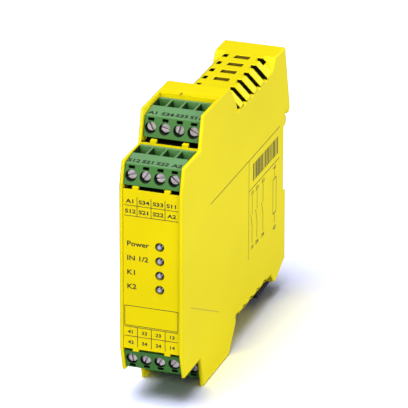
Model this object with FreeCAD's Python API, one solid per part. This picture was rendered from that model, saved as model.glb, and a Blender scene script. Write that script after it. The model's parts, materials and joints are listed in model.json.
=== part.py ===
"""Safety relay module for a 35 mm DIN rail, 22.5 mm wide, with four plug-in screw terminal blocks.

Frame: X runs across the width, Y from the front towards the rail, Z up. The origin is the middle of
the rail: on the rail seat (Y = 0), half-way up the housing. Depths (d) in the profiles are counted
from the front edge of the side walls, and Y = d - SEAT_DEPTH. All sizes are in millimetres.
"""
import FreeCAD
import Part
import math
import os

OUT_DIR = "parts"

# ---- Envelope and side profile (symmetric about Z = 0; drops are counted down from the shoulder) -----
WIDTH = 22.5
HEIGHT = 99.0
SEAT_DEPTH = 109.5
TIER_DROP = 11.4
NOSE_RISE = 9.1
TIER_STEP_DEPTH = 19.0
TIER_STEP_RISE = 9.8
NOSE_LEAN_DEG = 15.6
SHOULDER_END = 48.4
SHOULDER_FOOT = 57.6
VENT_DROP = 6.8
VENT_BEVEL = 4.3
RIDGE_DEPTH = 94.3
RIDGE_RUN = 3.3
REAR_TOP_DEPTH = 108.6
REAR_FOOT_DEPTH = 101.0
REAR_FOOT_RISE = 4.2
SIDE_WALL = 1.25
SHELL_WALL = 1.6

# ---- Rail grip ----------------------------------------------------------------------------------------
RAIL_HEIGHT = 35.0
RAIL_PLAY = 0.4
RAIL_SLOT = 1.2
HOOK_REACH = 5.0
HOOK_OVERLAP = 1.0
HOOK_TIP_DROP = 2.1
HOOK_TIP_TAPER = 0.9
SEAT_PAD_HEIGHT = 3.7
SEAT_RELIEF = 1.9
SLOT_RELIEF = 0.2
LOWER_PAD_START = 11.5

# ---- Vents --------------------------------------------------------------------------------------------
VENT_PITCH = 7.3
VENT_ROWS = 6
VENT_LAST_ROW = 93.9
VENT_LENGTH = 3.2
VENT_CENTRE_WIDTH = 5.5
VENT_RIB = 2.4
VENT_SIDE_MARGIN = 3.0
VENT_CENTRE_ROWS = 4

# ---- Front cover --------------------------------------------------------------------------------------
COVER_INSET = 0.6
COVER_WALL = 1.2
COVER_FIT = 0.1
COVER_SEAM = 2.4
KEY_TAB_WIDTH = 2.0
KEY_TAB_OFFSET = 5.6
KEY_TAB_DEPTH = 1.6
RIM_RISE = 1.1
RIM_GAP = 1.05
RISER_GAP = 0.3

# ---- Terminal plugs -----------------------------------------------------------------------------------
POLES = 4
POLE_PITCH = 5.0
PLUG_FIT = 0.2
PLUG_SETBACK = 0.8
PLUG_FLOOR = 0.45
PLUG_DEPTH = 17.8
STRIP_DEPTH = 9.6
STRIP_DROP = 1.2
TONGUE_LENGTH = 6.6
TONGUE_HEIGHT = 4.5
TONGUE_INSET = 0.9
SCREW_DROP = 4.9
SCREW_HOLE_DIA = 4.0
SCREW_HEAD_DIA = 3.3
SCREW_HEAD_DEPTH = 1.6
SCREW_SUNK = 3.3
SCREW_SHANK_DIA = 2.4
SCREW_SLOT_WIDTH = 0.55
SCREW_SLOT_DEPTH = 0.6
SHANK_PLAY = 0.15
THREAD_PLAY = 0.06
TEST_SLOT_WIDTH = 2.1
TEST_SLOT_HEIGHT = 1.0
TEST_SLOT_RISE = 2.7
TEST_SLOT_DEPTH = 3.0
FUNNEL_WIDTH = 4.3
FUNNEL_START = 10.1
FUNNEL_LENGTH = 6.3
FUNNEL_TAPER = 0.9
CAGE_WIDTH = 4.2
CAGE_LENGTH = 7.8
CAGE_HEIGHT = 3.4
CAGE_WALL = 0.7
CAGE_SIDE = 0.45
CAGE_PLAY = 0.15
CAGE_LEAD = 1.2
CAGE_TRAVEL = 2.5
BAR_DEPTH = 10.2
BAR_THICK = 0.7
BAR_WIDTH = 2.8
SOCKET_WIDTH = 2.4
SOCKET_HEIGHT = 2.7
SOCKET_LENGTH = 5.4

# ---- Headers and pins ---------------------------------------------------------------------------------
HEADER_WALL = 0.9
HEADER_BACK = 1.6
PIN_SIZE = 1.0
PIN_PLAY = 0.1
PIN_REACH = 5.2
PIN_BEND_GAP = 1.4
PIN_DROP = 3.5
PIN_STAGGER = 1.8

# ---- Board and what it carries ------------------------------------------------------------------------
BOARD_THICK = 1.6
BOARD_GAP = 0.4
BOARD_FRONT = 6.0
BOARD_MARGIN = 1.2
BOARD_REAR_GAP = 4.0
RELAY_LENGTH = 40.0
RELAY_WIDTH = 28.0
RELAY_TALL = 15.5
RELAY_SPACING = 4.0
RELAY_REAR_GAP = 12.5
RELAY_CORNER = 1.0
CAPACITOR_DIA = 8.0
CAPACITOR_TALL = 12.0
CAPACITOR_RISE = 14.0
CHIP_SIZE = (10.3, 7.5, 2.4)
CHIP_DEPTH = 22.0
CHIP_PITCH = 16.0

# ---- Status lights ------------------------------------------------------------------------------------
LED_COUNT = 4
LED_DIA = 3.0
LED_PITCH = 5.15
LED_FIRST = 9.4
LED_OFFSET = 3.0
LED_PLAY = 0.1
LED_PROUD = 0.45
LED_FLANGE = 0.25
LED_FLANGE_THICK = 0.8
LEAD_SIZE = 0.5
LEAD_SPACING = 2.54
LEAD_RUN = 3.0

# ---- Foot latch and its spring ------------------------------------------------------------------------
LATCH_WIDTH = 16.0
LATCH_THICK = 5.6
LATCH_PLAY = 0.3
LATCH_WALL = 1.4
LATCH_TOP_DROP = 1.3
LATCH_NOSE = 1.5
LATCH_NOSE_HEIGHT = 3.5
LATCH_RIB = 0.9
LATCH_RIB_THICK = 1.8
LATCH_RIB_LENGTH = 16.0
TAB_LENGTH = 16.0
TAB_THICK = 2.0
TAB_GAP = 0.6
TAB_SLOT_LENGTH = 3.0
TAB_SLOT_WIDTH = 6.0
WINDOW_WIDTH = 5.6
WINDOW_TOP = 24.0
POST_HEIGHT = 2.0
SPRING_LENGTH = 10.2
SPRING_DIA = 3.6
SPRING_WIRE = 0.5
SPRING_TURNS = 5
SPRING_STEPS = 14
SPRING_SIDES = 6

# ---- Values worked out from the sizes above -------------------------------------------------------------
HALF_W = WIDTH / 2
HALF_H = HEIGHT / 2
INNER_HALF_W = HALF_W - SIDE_WALL
TIER_TOP = HALF_H - TIER_DROP
FRONT_EDGE = TIER_TOP - NOSE_RISE
VENT_TOP = HALF_H - VENT_DROP
VENT_EDGE = VENT_TOP - VENT_BEVEL
LEAN = math.tan(math.radians(NOSE_LEAN_DEG))
SLOPE_RUN = (SHOULDER_FOOT - SHOULDER_END) / (HALF_H - VENT_EDGE)
RAIL_TOP = RAIL_HEIGHT / 2

PLUG_TOP = TIER_TOP
STRIP_FRONT = PLUG_TOP - STRIP_DROP
SCREW_Z = PLUG_TOP - SCREW_DROP
CHAMBER_TOP = SCREW_Z + CAGE_HEIGHT / 2 + 2 * CAGE_PLAY
CHAMBER_BOTTOM = SCREW_Z - CAGE_HEIGHT / 2 - 2 * CAGE_PLAY
BAR_BOTTOM = CHAMBER_BOTTOM - BAR_THICK
PLUG_BOTTOM = BAR_BOTTOM - PLUG_FLOOR
PLUG_HALF_W = INNER_HALF_W - PLUG_FIT
RIM_TOP = PLUG_BOTTOM - RIM_GAP
LEDGE_TOP = RIM_TOP - RIM_RISE
TONGUE_TOP = PLUG_BOTTOM + TONGUE_HEIGHT
TONGUE_END = PLUG_DEPTH + TONGUE_LENGTH
CAGE_REST = BAR_DEPTH - CAGE_WALL - CAGE_LEAD
CHAMBER_FRONT = CAGE_REST - CAGE_TRAVEL - CAGE_PLAY
SOCKET_START = PLUG_DEPTH + 2 * RISER_GAP
PIN_Z = BAR_BOTTOM + BAR_THICK + PIN_PLAY + PIN_SIZE / 2
PIN_TIP = TONGUE_END - PIN_REACH
RISER_DEPTH = PLUG_DEPTH + RISER_GAP
HEADER_CAVITY_END = TONGUE_END + PLUG_FIT
HEADER_END = HEADER_CAVITY_END + HEADER_BACK
HEADER_BOTTOM = LEDGE_TOP + COVER_FIT
HEADER_TOP = TONGUE_TOP + PLUG_FIT + HEADER_WALL
WEB_START = HEADER_END + COVER_FIT
WEB_END = WEB_START + COVER_WALL
PIN_BEND = WEB_END + PIN_BEND_GAP
BOARD_FACE = BOARD_GAP + BOARD_THICK - INNER_HALF_W
SEAM_DEPTH = RISER_DEPTH + TIER_STEP_DEPTH + COVER_SEAM
RELAY_START = SEAT_DEPTH - RELAY_REAR_GAP - RELAY_LENGTH
CAPACITOR_DEPTH = (CHIP_DEPTH + CHIP_SIZE[0] + RELAY_START) / 2
LATCH_BACK = SEAT_DEPTH - LATCH_PLAY
LATCH_FRONT = LATCH_BACK - LATCH_THICK
CHANNEL_FLOOR = LATCH_FRONT - LATCH_PLAY
LATCH_TOP = LATCH_TOP_DROP - RAIL_TOP
POST_TOP = -WINDOW_TOP - SPRING_LENGTH
WINDOW_LOW = POST_TOP - POST_HEIGHT - LATCH_PLAY
BLOCKS = (("upper_front", 0, 1), ("upper_rear", 1, 1), ("lower_front", 0, -1), ("lower_rear", 1, -1))
SLOT_ANGLES = {"upper_front": (-22, -52, -14, 38), "upper_rear": (64, 12, -70, 25),
               "lower_front": (84, -66, -58, -48), "lower_rear": (15, -35, 72, -80)}
Y_AXIS = FreeCAD.Vector(0, 1, 0)


# ---- Small helpers --------------------------------------------------------------------------------------
def block(x0, x1, d0, d1, z0, z1):
    """Box between two X values, two depths and two heights."""
    corner = FreeCAD.Vector(x0, d0 - SEAT_DEPTH, z0)
    return Part.makeBox(x1 - x0, d1 - d0, z1 - z0, corner)


def profile_x(points, x0, x1):
    """Side profile given as (depth, height) points, drawn out from X = x0 to x1."""
    corners = [FreeCAD.Vector(x0, d - SEAT_DEPTH, z) for d, z in points]
    face = Part.Face(Part.makePolygon(corners + corners[:1]))
    return face.extrude(FreeCAD.Vector(x1 - x0, 0, 0))


def profile_y(points, d0, d1):
    """Cross-section given as (x, height) points, drawn out between two depths."""
    corners = [FreeCAD.Vector(x, d0 - SEAT_DEPTH, z) for x, z in points]
    face = Part.Face(Part.makePolygon(corners + corners[:1]))
    return face.extrude(FreeCAD.Vector(0, d1 - d0, 0))


def rod(x, z, diameter, d0, d1):
    """Cylinder along the depth."""
    return Part.makeCylinder(diameter / 2, d1 - d0, FreeCAD.Vector(x, d0 - SEAT_DEPTH, z), Y_AXIS)


def mirror_z(shape):
    """The same shape on the other side of the mid-height plane."""
    return shape.mirror(FreeCAD.Vector(0, 0, 0), FreeCAD.Vector(0, 0, 1))


def fused(shapes):
    """One clean solid from overlapping shapes."""
    return shapes[0].multiFuse(shapes[1:]).removeSplitter()


def pole_positions():
    """X of each pole, symmetric about the middle."""
    return [(k - (POLES - 1) / 2) * POLE_PITCH for k in range(POLES)]


def placed(shape, tier, side):
    """Copy of a piece of the upper front block, moved to its tier and turned over for the lower side."""
    copy = shape.copy()
    copy.translate(FreeCAD.Vector(0, tier * TIER_STEP_DEPTH, tier * TIER_STEP_RISE))
    if side < 0:
        copy.rotate(FreeCAD.Vector(0, 0, 0), Y_AXIS, 180)
    return copy


def slope_depth(z, inset=0.0):
    """Depth of the slope behind the shoulder at height z, or of its parallel inside the wall."""
    return SHOULDER_END + (HALF_H - z) * SLOPE_RUN - inset * math.hypot(1, SLOPE_RUN)


def save(name, shape):
    """Write one sub-part to its own file."""
    shape.exportStep(os.path.join(OUT_DIR, name + ".step"))


# ---- Housing --------------------------------------------------------------------------------------------
def front_outline():
    """Upper half of the stepped front: edge, leaning nose, first tier, second nose, shoulder."""
    nose = LEAN * (TIER_TOP - FRONT_EDGE)
    second = TIER_STEP_DEPTH + nose - LEAN * (HALF_H - TIER_TOP)
    return [(0, FRONT_EDGE), (nose, TIER_TOP), (second, TIER_TOP),
            (TIER_STEP_DEPTH + nose, HALF_H), (SHOULDER_END, HALF_H), (slope_depth(VENT_TOP), VENT_TOP)]


def rear_outline():
    """Rear edge from the top down: slanted back, hook, rail slot, seat pads and the foot."""
    hook_end = RAIL_TOP - HOOK_OVERLAP
    slot_end = SEAT_DEPTH + RAIL_SLOT
    seat_back = SEAT_DEPTH - SEAT_RELIEF
    pad_end = hook_end - SEAT_PAD_HEIGHT
    return [(REAR_TOP_DEPTH, VENT_TOP), (SEAT_DEPTH + HOOK_REACH, hook_end + HOOK_TIP_DROP),
            (SEAT_DEPTH + HOOK_REACH - HOOK_TIP_TAPER, hook_end), (slot_end, hook_end),
            (slot_end, RAIL_TOP + RAIL_PLAY), (SEAT_DEPTH - SLOT_RELIEF, RAIL_TOP + RAIL_PLAY),
            (SEAT_DEPTH - SLOT_RELIEF, hook_end), (SEAT_DEPTH, hook_end), (SEAT_DEPTH, pad_end),
            (seat_back, pad_end), (seat_back, -LOWER_PAD_START), (SEAT_DEPTH, -LOWER_PAD_START),
            (SEAT_DEPTH, REAR_FOOT_RISE - VENT_TOP), (REAR_FOOT_DEPTH, -VENT_TOP)]


def bevel_wedge(inset, back):
    """Corner strip that the bevel beside the vents takes off the +X upper edge, ending at depth back."""
    top = VENT_TOP - inset
    edge = VENT_EDGE - inset
    half = HALF_W - inset * (math.sqrt(2) - 1)
    above = 1.0
    profile = [(slope_depth(top + above, inset), top + above), (slope_depth(edge, inset), edge),
               (back, edge), (back + RIDGE_RUN, top), (back + RIDGE_RUN, top + above)]
    corner = [(half - VENT_BEVEL - above, top + above), (half + above, edge - above),
              (half + above, top + above)]
    strip = profile_x(profile, 0, half + above)
    return strip.common(profile_y(corner, slope_depth(top + above, inset), back + RIDGE_RUN))


def bevelled(solid, inset, back):
    """Take the bevel off all four long edges of the vent zone."""
    wedge = bevel_wedge(inset, back)
    for side in (1, -1):
        for level in (1, -1):
            cutter = wedge if side > 0 else wedge.mirror(FreeCAD.Vector(0, 0, 0), FreeCAD.Vector(1, 0, 0))
            solid = solid.cut(cutter if level > 0 else mirror_z(cutter))
    return solid


def housing_cavity():
    """Room inside the housing, between the side walls and behind the front cover."""
    top = HALF_H - SHELL_WALL
    vent = VENT_TOP - SHELL_WALL
    back = SEAT_DEPTH - SEAT_RELIEF - SHELL_WALL
    channel = CHANNEL_FLOOR - LATCH_WALL
    step = LATCH_TOP + LATCH_PLAY + LATCH_WALL
    corner = SHELL_WALL + REAR_FOOT_RISE
    profile = [(SEAM_DEPTH - 1, -top), (SEAM_DEPTH - 1, top), (slope_depth(top, SHELL_WALL), top),
               (slope_depth(vent, SHELL_WALL), vent), (back, vent), (back, step), (channel, step),
               (channel, corner - vent), (channel - corner, -vent), (slope_depth(vent, SHELL_WALL), -vent),
               (slope_depth(top, SHELL_WALL), -top)]
    room = profile_x(profile, -INNER_HALF_W, INNER_HALF_W)
    return bevelled(room, SHELL_WALL, SEAT_DEPTH)


def vent_slots():
    """Slots of the upper vent field: a centre slot and two that run out over the bevels in each row."""
    slots = []
    inner = VENT_CENTRE_WIDTH / 2 + VENT_RIB
    reach = SHELL_WALL + VENT_BEVEL + 1
    for row in range(VENT_ROWS):
        d0 = VENT_LAST_ROW - row * VENT_PITCH - VENT_LENGTH / 2
        outer = HALF_W - VENT_SIDE_MARGIN if row == 0 else HALF_W + 1
        start = inner if row < VENT_ROWS - 1 else HALF_W - VENT_BEVEL
        z0 = VENT_EDGE - SIDE_WALL / 2 if row else VENT_TOP - reach
        for side in (1, -1):
            x0, x1 = sorted((side * start, side * outer))
            slots.append(block(x0, x1, d0, d0 + VENT_LENGTH, z0, VENT_TOP + 1))
        if row < VENT_CENTRE_ROWS:
            half = VENT_CENTRE_WIDTH / 2
            slots.append(block(-half, half, d0, d0 + VENT_LENGTH, VENT_TOP - reach, VENT_TOP + 1))
    return slots


def latch_channel():
    """Guide for the foot latch: an open channel with a groove for the latch's ribs on each side."""
    top = LATCH_TOP + LATCH_PLAY
    half = LATCH_WIDTH / 2 + LATCH_PLAY
    rib_front = LATCH_FRONT + (LATCH_THICK - LATCH_RIB_THICK) / 2 - LATCH_PLAY
    groove = half + LATCH_RIB
    channel = block(-half, half, CHANNEL_FLOOR, SEAT_DEPTH + 1, -HALF_H, top)
    ribs = block(-groove, groove, rib_front, rib_front + LATCH_RIB_THICK + 2 * LATCH_PLAY, -HALF_H, top)
    return channel.fuse(ribs)


def spring_post():
    """Post on the channel floor that the latch spring pushes against."""
    half = WINDOW_WIDTH / 2 - LATCH_PLAY
    start = CHANNEL_FLOOR - LATCH_WALL / 2
    return block(-half, half, start, LATCH_BACK, POST_TOP - POST_HEIGHT, POST_TOP)


def board_pads():
    """Low pads on the inner side wall that the circuit board lies against."""
    x0 = -INNER_HALF_W - SIDE_WALL / 2
    x1 = BOARD_GAP - INNER_HALF_W
    pads = []
    for d0 in (RELAY_START, RELAY_START + RELAY_LENGTH - 4):
        for z0 in (-RELAY_WIDTH, RELAY_WIDTH - 4):
            pads.append(block(x0, x1, d0, d0 + 4, z0, z0 + 4))
    return pads


def housing():
    """Moulded shell: two full side walls, vented top and bottom, back with rail hook and latch guide."""
    upper = front_outline()
    lower = [(d, -z) for d, z in reversed(upper)]
    body = profile_x(upper + rear_outline() + lower, -HALF_W, HALF_W)
    body = bevelled(body, 0.0, RIDGE_DEPTH)
    front_room = block(-INNER_HALF_W, INNER_HALF_W, -1, SEAM_DEPTH, -HALF_H - 1, HALF_H + 1)
    slots = vent_slots()
    cuts = [housing_cavity(), front_room, latch_channel()] + slots + [mirror_z(slot) for slot in slots]
    body = body.cut(cuts)
    return fused([body, spring_post()] + board_pads())


# ---- Front cover ----------------------------------------------------------------------------------------
def cover_outline():
    """Upper half of the stair-shaped cover, from the front face up and back round the inside."""
    rise = TIER_STEP_RISE
    back = TIER_STEP_DEPTH
    front = COVER_INSET
    wall = COVER_WALL
    lip = HEADER_TOP + COVER_FIT
    roof = HALF_H - SHELL_WALL - COVER_FIT
    under = LEDGE_TOP + rise - wall
    return [(front, 0), (front, RIM_TOP), (front + wall, RIM_TOP), (front + wall, LEDGE_TOP),
            (WEB_START, LEDGE_TOP), (WEB_START, under), (RISER_DEPTH + wall, under),
            (RISER_DEPTH + wall, lip),
            (RISER_DEPTH, lip), (RISER_DEPTH, RIM_TOP + rise), (RISER_DEPTH + wall, RIM_TOP + rise),
            (RISER_DEPTH + wall, LEDGE_TOP + rise), (WEB_START + back, LEDGE_TOP + rise),
            (WEB_START + back, roof - wall), (RISER_DEPTH + back + wall, roof - wall),
            (RISER_DEPTH + back + wall, lip + rise), (RISER_DEPTH + back, lip + rise),
            (RISER_DEPTH + back, HALF_H), (SEAM_DEPTH - COVER_FIT, HALF_H), (SEAM_DEPTH - COVER_FIT, roof),
            (WEB_END + back, roof), (WEB_END + back, under), (WEB_END, under), (WEB_END, LEDGE_TOP - wall),
            (front + wall, LEDGE_TOP - wall), (front + wall, 0)]


def front_cover():
    """Inset hood with the label field, the light holes, the terminal ledges and their key tabs."""
    half = INNER_HALF_W - COVER_FIT
    shell = profile_x(cover_outline(), -half, half)
    tabs = []
    pins = []
    for tier, front in ((0, COVER_INSET), (1, RISER_DEPTH)):
        rise = tier * TIER_STEP_RISE
        tab_top = PLUG_BOTTOM - COVER_FIT + rise
        tab_low = LEDGE_TOP - COVER_WALL / 2 + rise
        for x in (-KEY_TAB_OFFSET, KEY_TAB_OFFSET):
            w = KEY_TAB_WIDTH / 2
            tabs.append(block(x - w, x + w, front, front + KEY_TAB_DEPTH, tab_low, tab_top))
        for x in pole_positions():
            w = PIN_SIZE / 2 + 2 * PIN_PLAY
            d = WEB_START + tier * TIER_STEP_DEPTH
            pins.append(block(x - w, x + w, d - 1, d + COVER_WALL + 1, PIN_Z + rise - w, PIN_Z + rise + w))
    half_cover = fused([shell] + tabs).cut(pins)
    bore = LED_DIA + 2 * LED_PLAY
    holes = [rod(LED_OFFSET, z, bore, -1, COVER_INSET + COVER_WALL + 1) for z in led_heights()]
    return fused([half_cover, mirror_z(half_cover)]).cut(holes)


# ---- Terminal plugs (drawn for the upper front block) -----------------------------------------------------
def plug_front(z):
    """Depth of the plug's leaning front face at height z."""
    return PLUG_SETBACK / math.cos(math.radians(NOSE_LEAN_DEG)) + LEAN * (z - FRONT_EDGE)


def funnel(x):
    """Tapered wire entry in the top face."""
    wires = []
    for z, inset in ((PLUG_TOP, 0.0), (CHAMBER_TOP, FUNNEL_TAPER)):
        x0, x1 = x - FUNNEL_WIDTH / 2 + inset, x + FUNNEL_WIDTH / 2 - inset
        y0 = FUNNEL_START - SEAT_DEPTH + inset
        y1 = y0 + FUNNEL_LENGTH - 2 * inset
        corners = [FreeCAD.Vector(px, py, z) for px, py in ((x0, y0), (x1, y0), (x1, y1), (x0, y1), (x0, y0))]
        wires.append(Part.makePolygon(corners))
    return Part.makeLoft(wires, True, True)


def plug_body():
    """Plug moulding: leaning front, screw wells, test slots, wire funnels, clamp chambers and tongue."""
    front_low, front_top = plug_front(PLUG_BOTTOM), plug_front(STRIP_FRONT)
    outline = [(front_low, PLUG_BOTTOM), (front_top, STRIP_FRONT), (STRIP_DEPTH, PLUG_TOP),
               (PLUG_DEPTH, PLUG_TOP), (PLUG_DEPTH, PLUG_BOTTOM)]
    body = profile_x(outline, -PLUG_HALF_W, PLUG_HALF_W)
    half = PLUG_HALF_W - TONGUE_INSET
    tongue = block(-half, half, PLUG_DEPTH - 1, TONGUE_END, PLUG_BOTTOM, TONGUE_TOP)
    cuts = []
    for x in pole_positions():
        w = CAGE_WIDTH / 2 + CAGE_PLAY
        bar = BAR_WIDTH / 2 + PIN_PLAY
        slot = TEST_SLOT_WIDTH / 2
        slot_top = SCREW_Z + TEST_SLOT_RISE + TEST_SLOT_HEIGHT / 2
        head_seat = SCREW_SUNK + SCREW_HEAD_DEPTH
        chamber_end = CAGE_REST + CAGE_LENGTH + CAGE_PLAY
        cuts += [rod(x, SCREW_Z, SCREW_HOLE_DIA, -1, head_seat),
                 rod(x, SCREW_Z, SCREW_SHANK_DIA + 2 * SHANK_PLAY, head_seat - 0.1, CHAMBER_FRONT + 0.1),
                 block(x - slot, x + slot, -1, front_top + TEST_SLOT_DEPTH, slot_top - TEST_SLOT_HEIGHT,
                       slot_top),
                 block(x - w, x + w, CHAMBER_FRONT, chamber_end, CHAMBER_BOTTOM, CHAMBER_TOP),
                 block(x - bar, x + bar, BAR_DEPTH - PIN_PLAY, TONGUE_END + 1, BAR_BOTTOM,
                       BAR_BOTTOM + BAR_THICK + PIN_PLAY),
                 block(x - bar, x + bar, SOCKET_START - PIN_PLAY, TONGUE_END + 1, BAR_BOTTOM,
                       BAR_BOTTOM + SOCKET_HEIGHT + PIN_PLAY),
                 funnel(x)]
    return fused([body, tongue]).cut(cuts)


def terminal_screw(x, angle):
    """Clamp screw: cheese head with a slot, and its shank with a plain end."""
    head_end = SCREW_SUNK + SCREW_HEAD_DEPTH
    head = rod(x, SCREW_Z, SCREW_HEAD_DIA, SCREW_SUNK, head_end - PIN_PLAY)
    shank = rod(x, SCREW_Z, SCREW_SHANK_DIA, SCREW_SUNK + 0.5, BAR_DEPTH - PIN_PLAY)
    half = SCREW_SLOT_WIDTH / 2
    slot = block(x - SCREW_HEAD_DIA, x + SCREW_HEAD_DIA, SCREW_SUNK - 1, SCREW_SUNK + SCREW_SLOT_DEPTH,
                 SCREW_Z - half, SCREW_Z + half)
    slot.rotate(FreeCAD.Vector(x, 0, SCREW_Z), Y_AXIS, angle)
    return head.fuse(shank).removeSplitter().cut(slot)


def clamp_cage(x):
    """Rising clamp: a sleeve round the contact bar and the wire, bored for the screw."""
    half = CAGE_WIDTH / 2
    z0 = SCREW_Z - CAGE_HEIGHT / 2
    sleeve = block(x - half, x + half, CAGE_REST, CAGE_REST + CAGE_LENGTH, z0, z0 + CAGE_HEIGHT)
    inner = half - CAGE_SIDE
    room = block(x - inner, x + inner, CAGE_REST + CAGE_WALL, CAGE_REST + CAGE_LENGTH - CAGE_WALL,
                 z0 - 1, z0 + CAGE_HEIGHT + 1)
    bore = rod(x, SCREW_Z, SCREW_SHANK_DIA + 2 * THREAD_PLAY, CAGE_REST - 1, CAGE_REST + CAGE_WALL + 0.1)
    return sleeve.cut([room, bore])


def contact_bar(x):
    """Bent contact: the leg that the wire is pressed on, the run below the cage and the pin socket."""
    half = BAR_WIDTH / 2
    bar_top = SCREW_Z + CAGE_HEIGHT / 2
    run_top = BAR_BOTTOM + BAR_THICK
    leg_back = BAR_DEPTH + BAR_THICK
    bend = [(BAR_DEPTH, BAR_BOTTOM), (SOCKET_START + 1, BAR_BOTTOM), (SOCKET_START + 1, run_top),
            (leg_back, run_top), (leg_back, bar_top), (BAR_DEPTH, bar_top)]
    bar = profile_x(bend, x - half, x + half)
    w = SOCKET_WIDTH / 2
    pin = PIN_SIZE / 2 + PIN_PLAY
    socket = block(x - w, x + w, SOCKET_START, SOCKET_START + SOCKET_LENGTH, BAR_BOTTOM,
                   BAR_BOTTOM + SOCKET_HEIGHT)
    hole = block(x - pin, x + pin, SOCKET_START - 1, TONGUE_END + 1, PIN_Z - pin, PIN_Z + pin)
    return fused([bar, socket]).cut(hole)


# ---- Headers (drawn for the upper front block) ------------------------------------------------------------
def header():
    """Socket strip fixed in the cover, open towards the plug's tongue, with holes for its pins."""
    half = INNER_HALF_W - PLUG_FIT
    cavity = PLUG_HALF_W - TONGUE_INSET + PLUG_FIT
    shell = block(-half, half, RISER_DEPTH, HEADER_END, HEADER_BOTTOM, HEADER_TOP)
    room = block(-cavity, cavity, RISER_DEPTH - 1, HEADER_CAVITY_END, PLUG_BOTTOM - PLUG_FIT,
                 TONGUE_TOP + PLUG_FIT)
    w = PIN_SIZE / 2
    holes = [block(x - w, x + w, RISER_DEPTH, HEADER_END + 1, PIN_Z - w, PIN_Z + w) for x in pole_positions()]
    return shell.cut([room] + holes)


def header_pin(k, x):
    """Square pin: straight through the header, then down and across to the circuit board."""
    w = PIN_SIZE / 2
    straight = block(x - w, x + w, PIN_TIP, PIN_BEND + w, PIN_Z - w, PIN_Z + w)
    if k == 0:
        return straight
    low = PIN_Z - PIN_DROP - PIN_STAGGER * (k - 1)
    drop = block(x - w, x + w, PIN_BEND - w, PIN_BEND + w, low - w, PIN_Z + w)
    across = block(BOARD_FACE, x + w, PIN_BEND - w, PIN_BEND + w, low - w, low + w)
    return fused([straight, drop, across])


# ---- Board and its components ---------------------------------------------------------------------------
def board_outline():
    """Upper half of the circuit board, following the steps of the cover and the slope of the shell."""
    margin = BOARD_MARGIN
    ledge = LEDGE_TOP - COVER_WALL - margin
    inner = PIN_BEND - PIN_SIZE
    bevel = VENT_EDGE - margin
    top = HALF_H - SHELL_WALL - COVER_WALL - COVER_FIT - margin
    return [(BOARD_FRONT, ledge), (inner, ledge), (inner, ledge + TIER_STEP_RISE),
            (inner + TIER_STEP_DEPTH, ledge + TIER_STEP_RISE), (inner + TIER_STEP_DEPTH, top),
            (slope_depth(top, SHELL_WALL + margin), top), (slope_depth(bevel, SHELL_WALL + margin), bevel),
            (CHANNEL_FLOOR - LATCH_WALL - BOARD_REAR_GAP, bevel)]


def circuit_board():
    """Board that stands along one side wall."""
    upper = board_outline()
    points = upper + [(d, -z) for d, z in reversed(upper)]
    return profile_x(points, BOARD_FACE - BOARD_THICK, BOARD_FACE)


def force_guided_relay(level):
    """Sealed relay can, soldered flat on the board above (+1) or below (-1) the middle."""
    z0 = RELAY_SPACING / 2 if level > 0 else -RELAY_SPACING / 2 - RELAY_WIDTH
    end = RELAY_START + RELAY_LENGTH
    can = block(BOARD_FACE, BOARD_FACE + RELAY_TALL, RELAY_START, end, z0, z0 + RELAY_WIDTH)
    top_edges = [edge for edge in can.Edges if edge.BoundBox.XMin > BOARD_FACE + RELAY_TALL / 2]
    return can.makeFillet(RELAY_CORNER, top_edges)


def storage_capacitor():
    """Round capacitor standing on the board."""
    centre = FreeCAD.Vector(BOARD_FACE, CAPACITOR_DEPTH - SEAT_DEPTH, CAPACITOR_RISE)
    can = Part.makeCylinder(CAPACITOR_DIA / 2, CAPACITOR_TALL, centre, FreeCAD.Vector(1, 0, 0))
    return can.makeFillet(CAPACITOR_DIA / 16, [can.Edges[0]])


def logic_chips():
    """Two flat chips on the board."""
    length, wide, tall = CHIP_SIZE
    return [block(BOARD_FACE, BOARD_FACE + tall, CHIP_DEPTH, CHIP_DEPTH + length, z - wide / 2, z + wide / 2)
            for z in (-CHIP_PITCH / 2, CHIP_PITCH / 2)]


# ---- Status lights --------------------------------------------------------------------------------------
def led_heights():
    """Height of each light, from the top one down."""
    return [LED_FIRST - k * LED_PITCH for k in range(LED_COUNT)]


def status_led(z):
    """Round light: a dome, a body through the cover and a flange behind it, turned in one profile."""
    radius = LED_DIA / 2
    tip = COVER_INSET - LED_PROUD
    shoulder = tip + radius * 0.6
    flange = COVER_INSET + COVER_WALL + LED_PLAY
    end = flange + LED_FLANGE_THICK
    y = [d - SEAT_DEPTH for d in (tip, shoulder, flange, end)]
    bulge = FreeCAD.Vector(radius * math.sqrt(0.5), y[0] + (y[1] - y[0]) * (1 - math.sqrt(0.5)), 0)
    dome = Part.Arc(FreeCAD.Vector(0, y[0], 0), bulge, FreeCAD.Vector(radius, y[1], 0)).toShape()
    points = [(radius, y[1]), (radius, y[2]), (radius + LED_FLANGE, y[2]), (radius + LED_FLANGE, y[3]),
              (0, y[3]), (0, y[0])]
    line = Part.makePolygon([FreeCAD.Vector(px, py, 0) for px, py in points])
    turned = Part.Face(Part.Wire([dome] + line.Edges)).revolve(FreeCAD.Vector(0, 0, 0), Y_AXIS, 360)
    turned.translate(FreeCAD.Vector(LED_OFFSET, 0, z))
    return turned


def led_lead(z, offset):
    """Square lead from a light back and across to the board."""
    half = LEAD_SIZE / 2
    start = COVER_INSET + COVER_WALL + LED_PLAY + LED_FLANGE_THICK
    bend = max(start + LEAD_RUN, BOARD_FRONT + LEAD_SIZE)
    x, level = LED_OFFSET, z + offset
    straight = block(x - half, x + half, start, bend + half, level - half, level + half)
    across = block(BOARD_FACE, x + half, bend - half, bend + half, level - half, level + half)
    return fused([straight, across])


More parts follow.
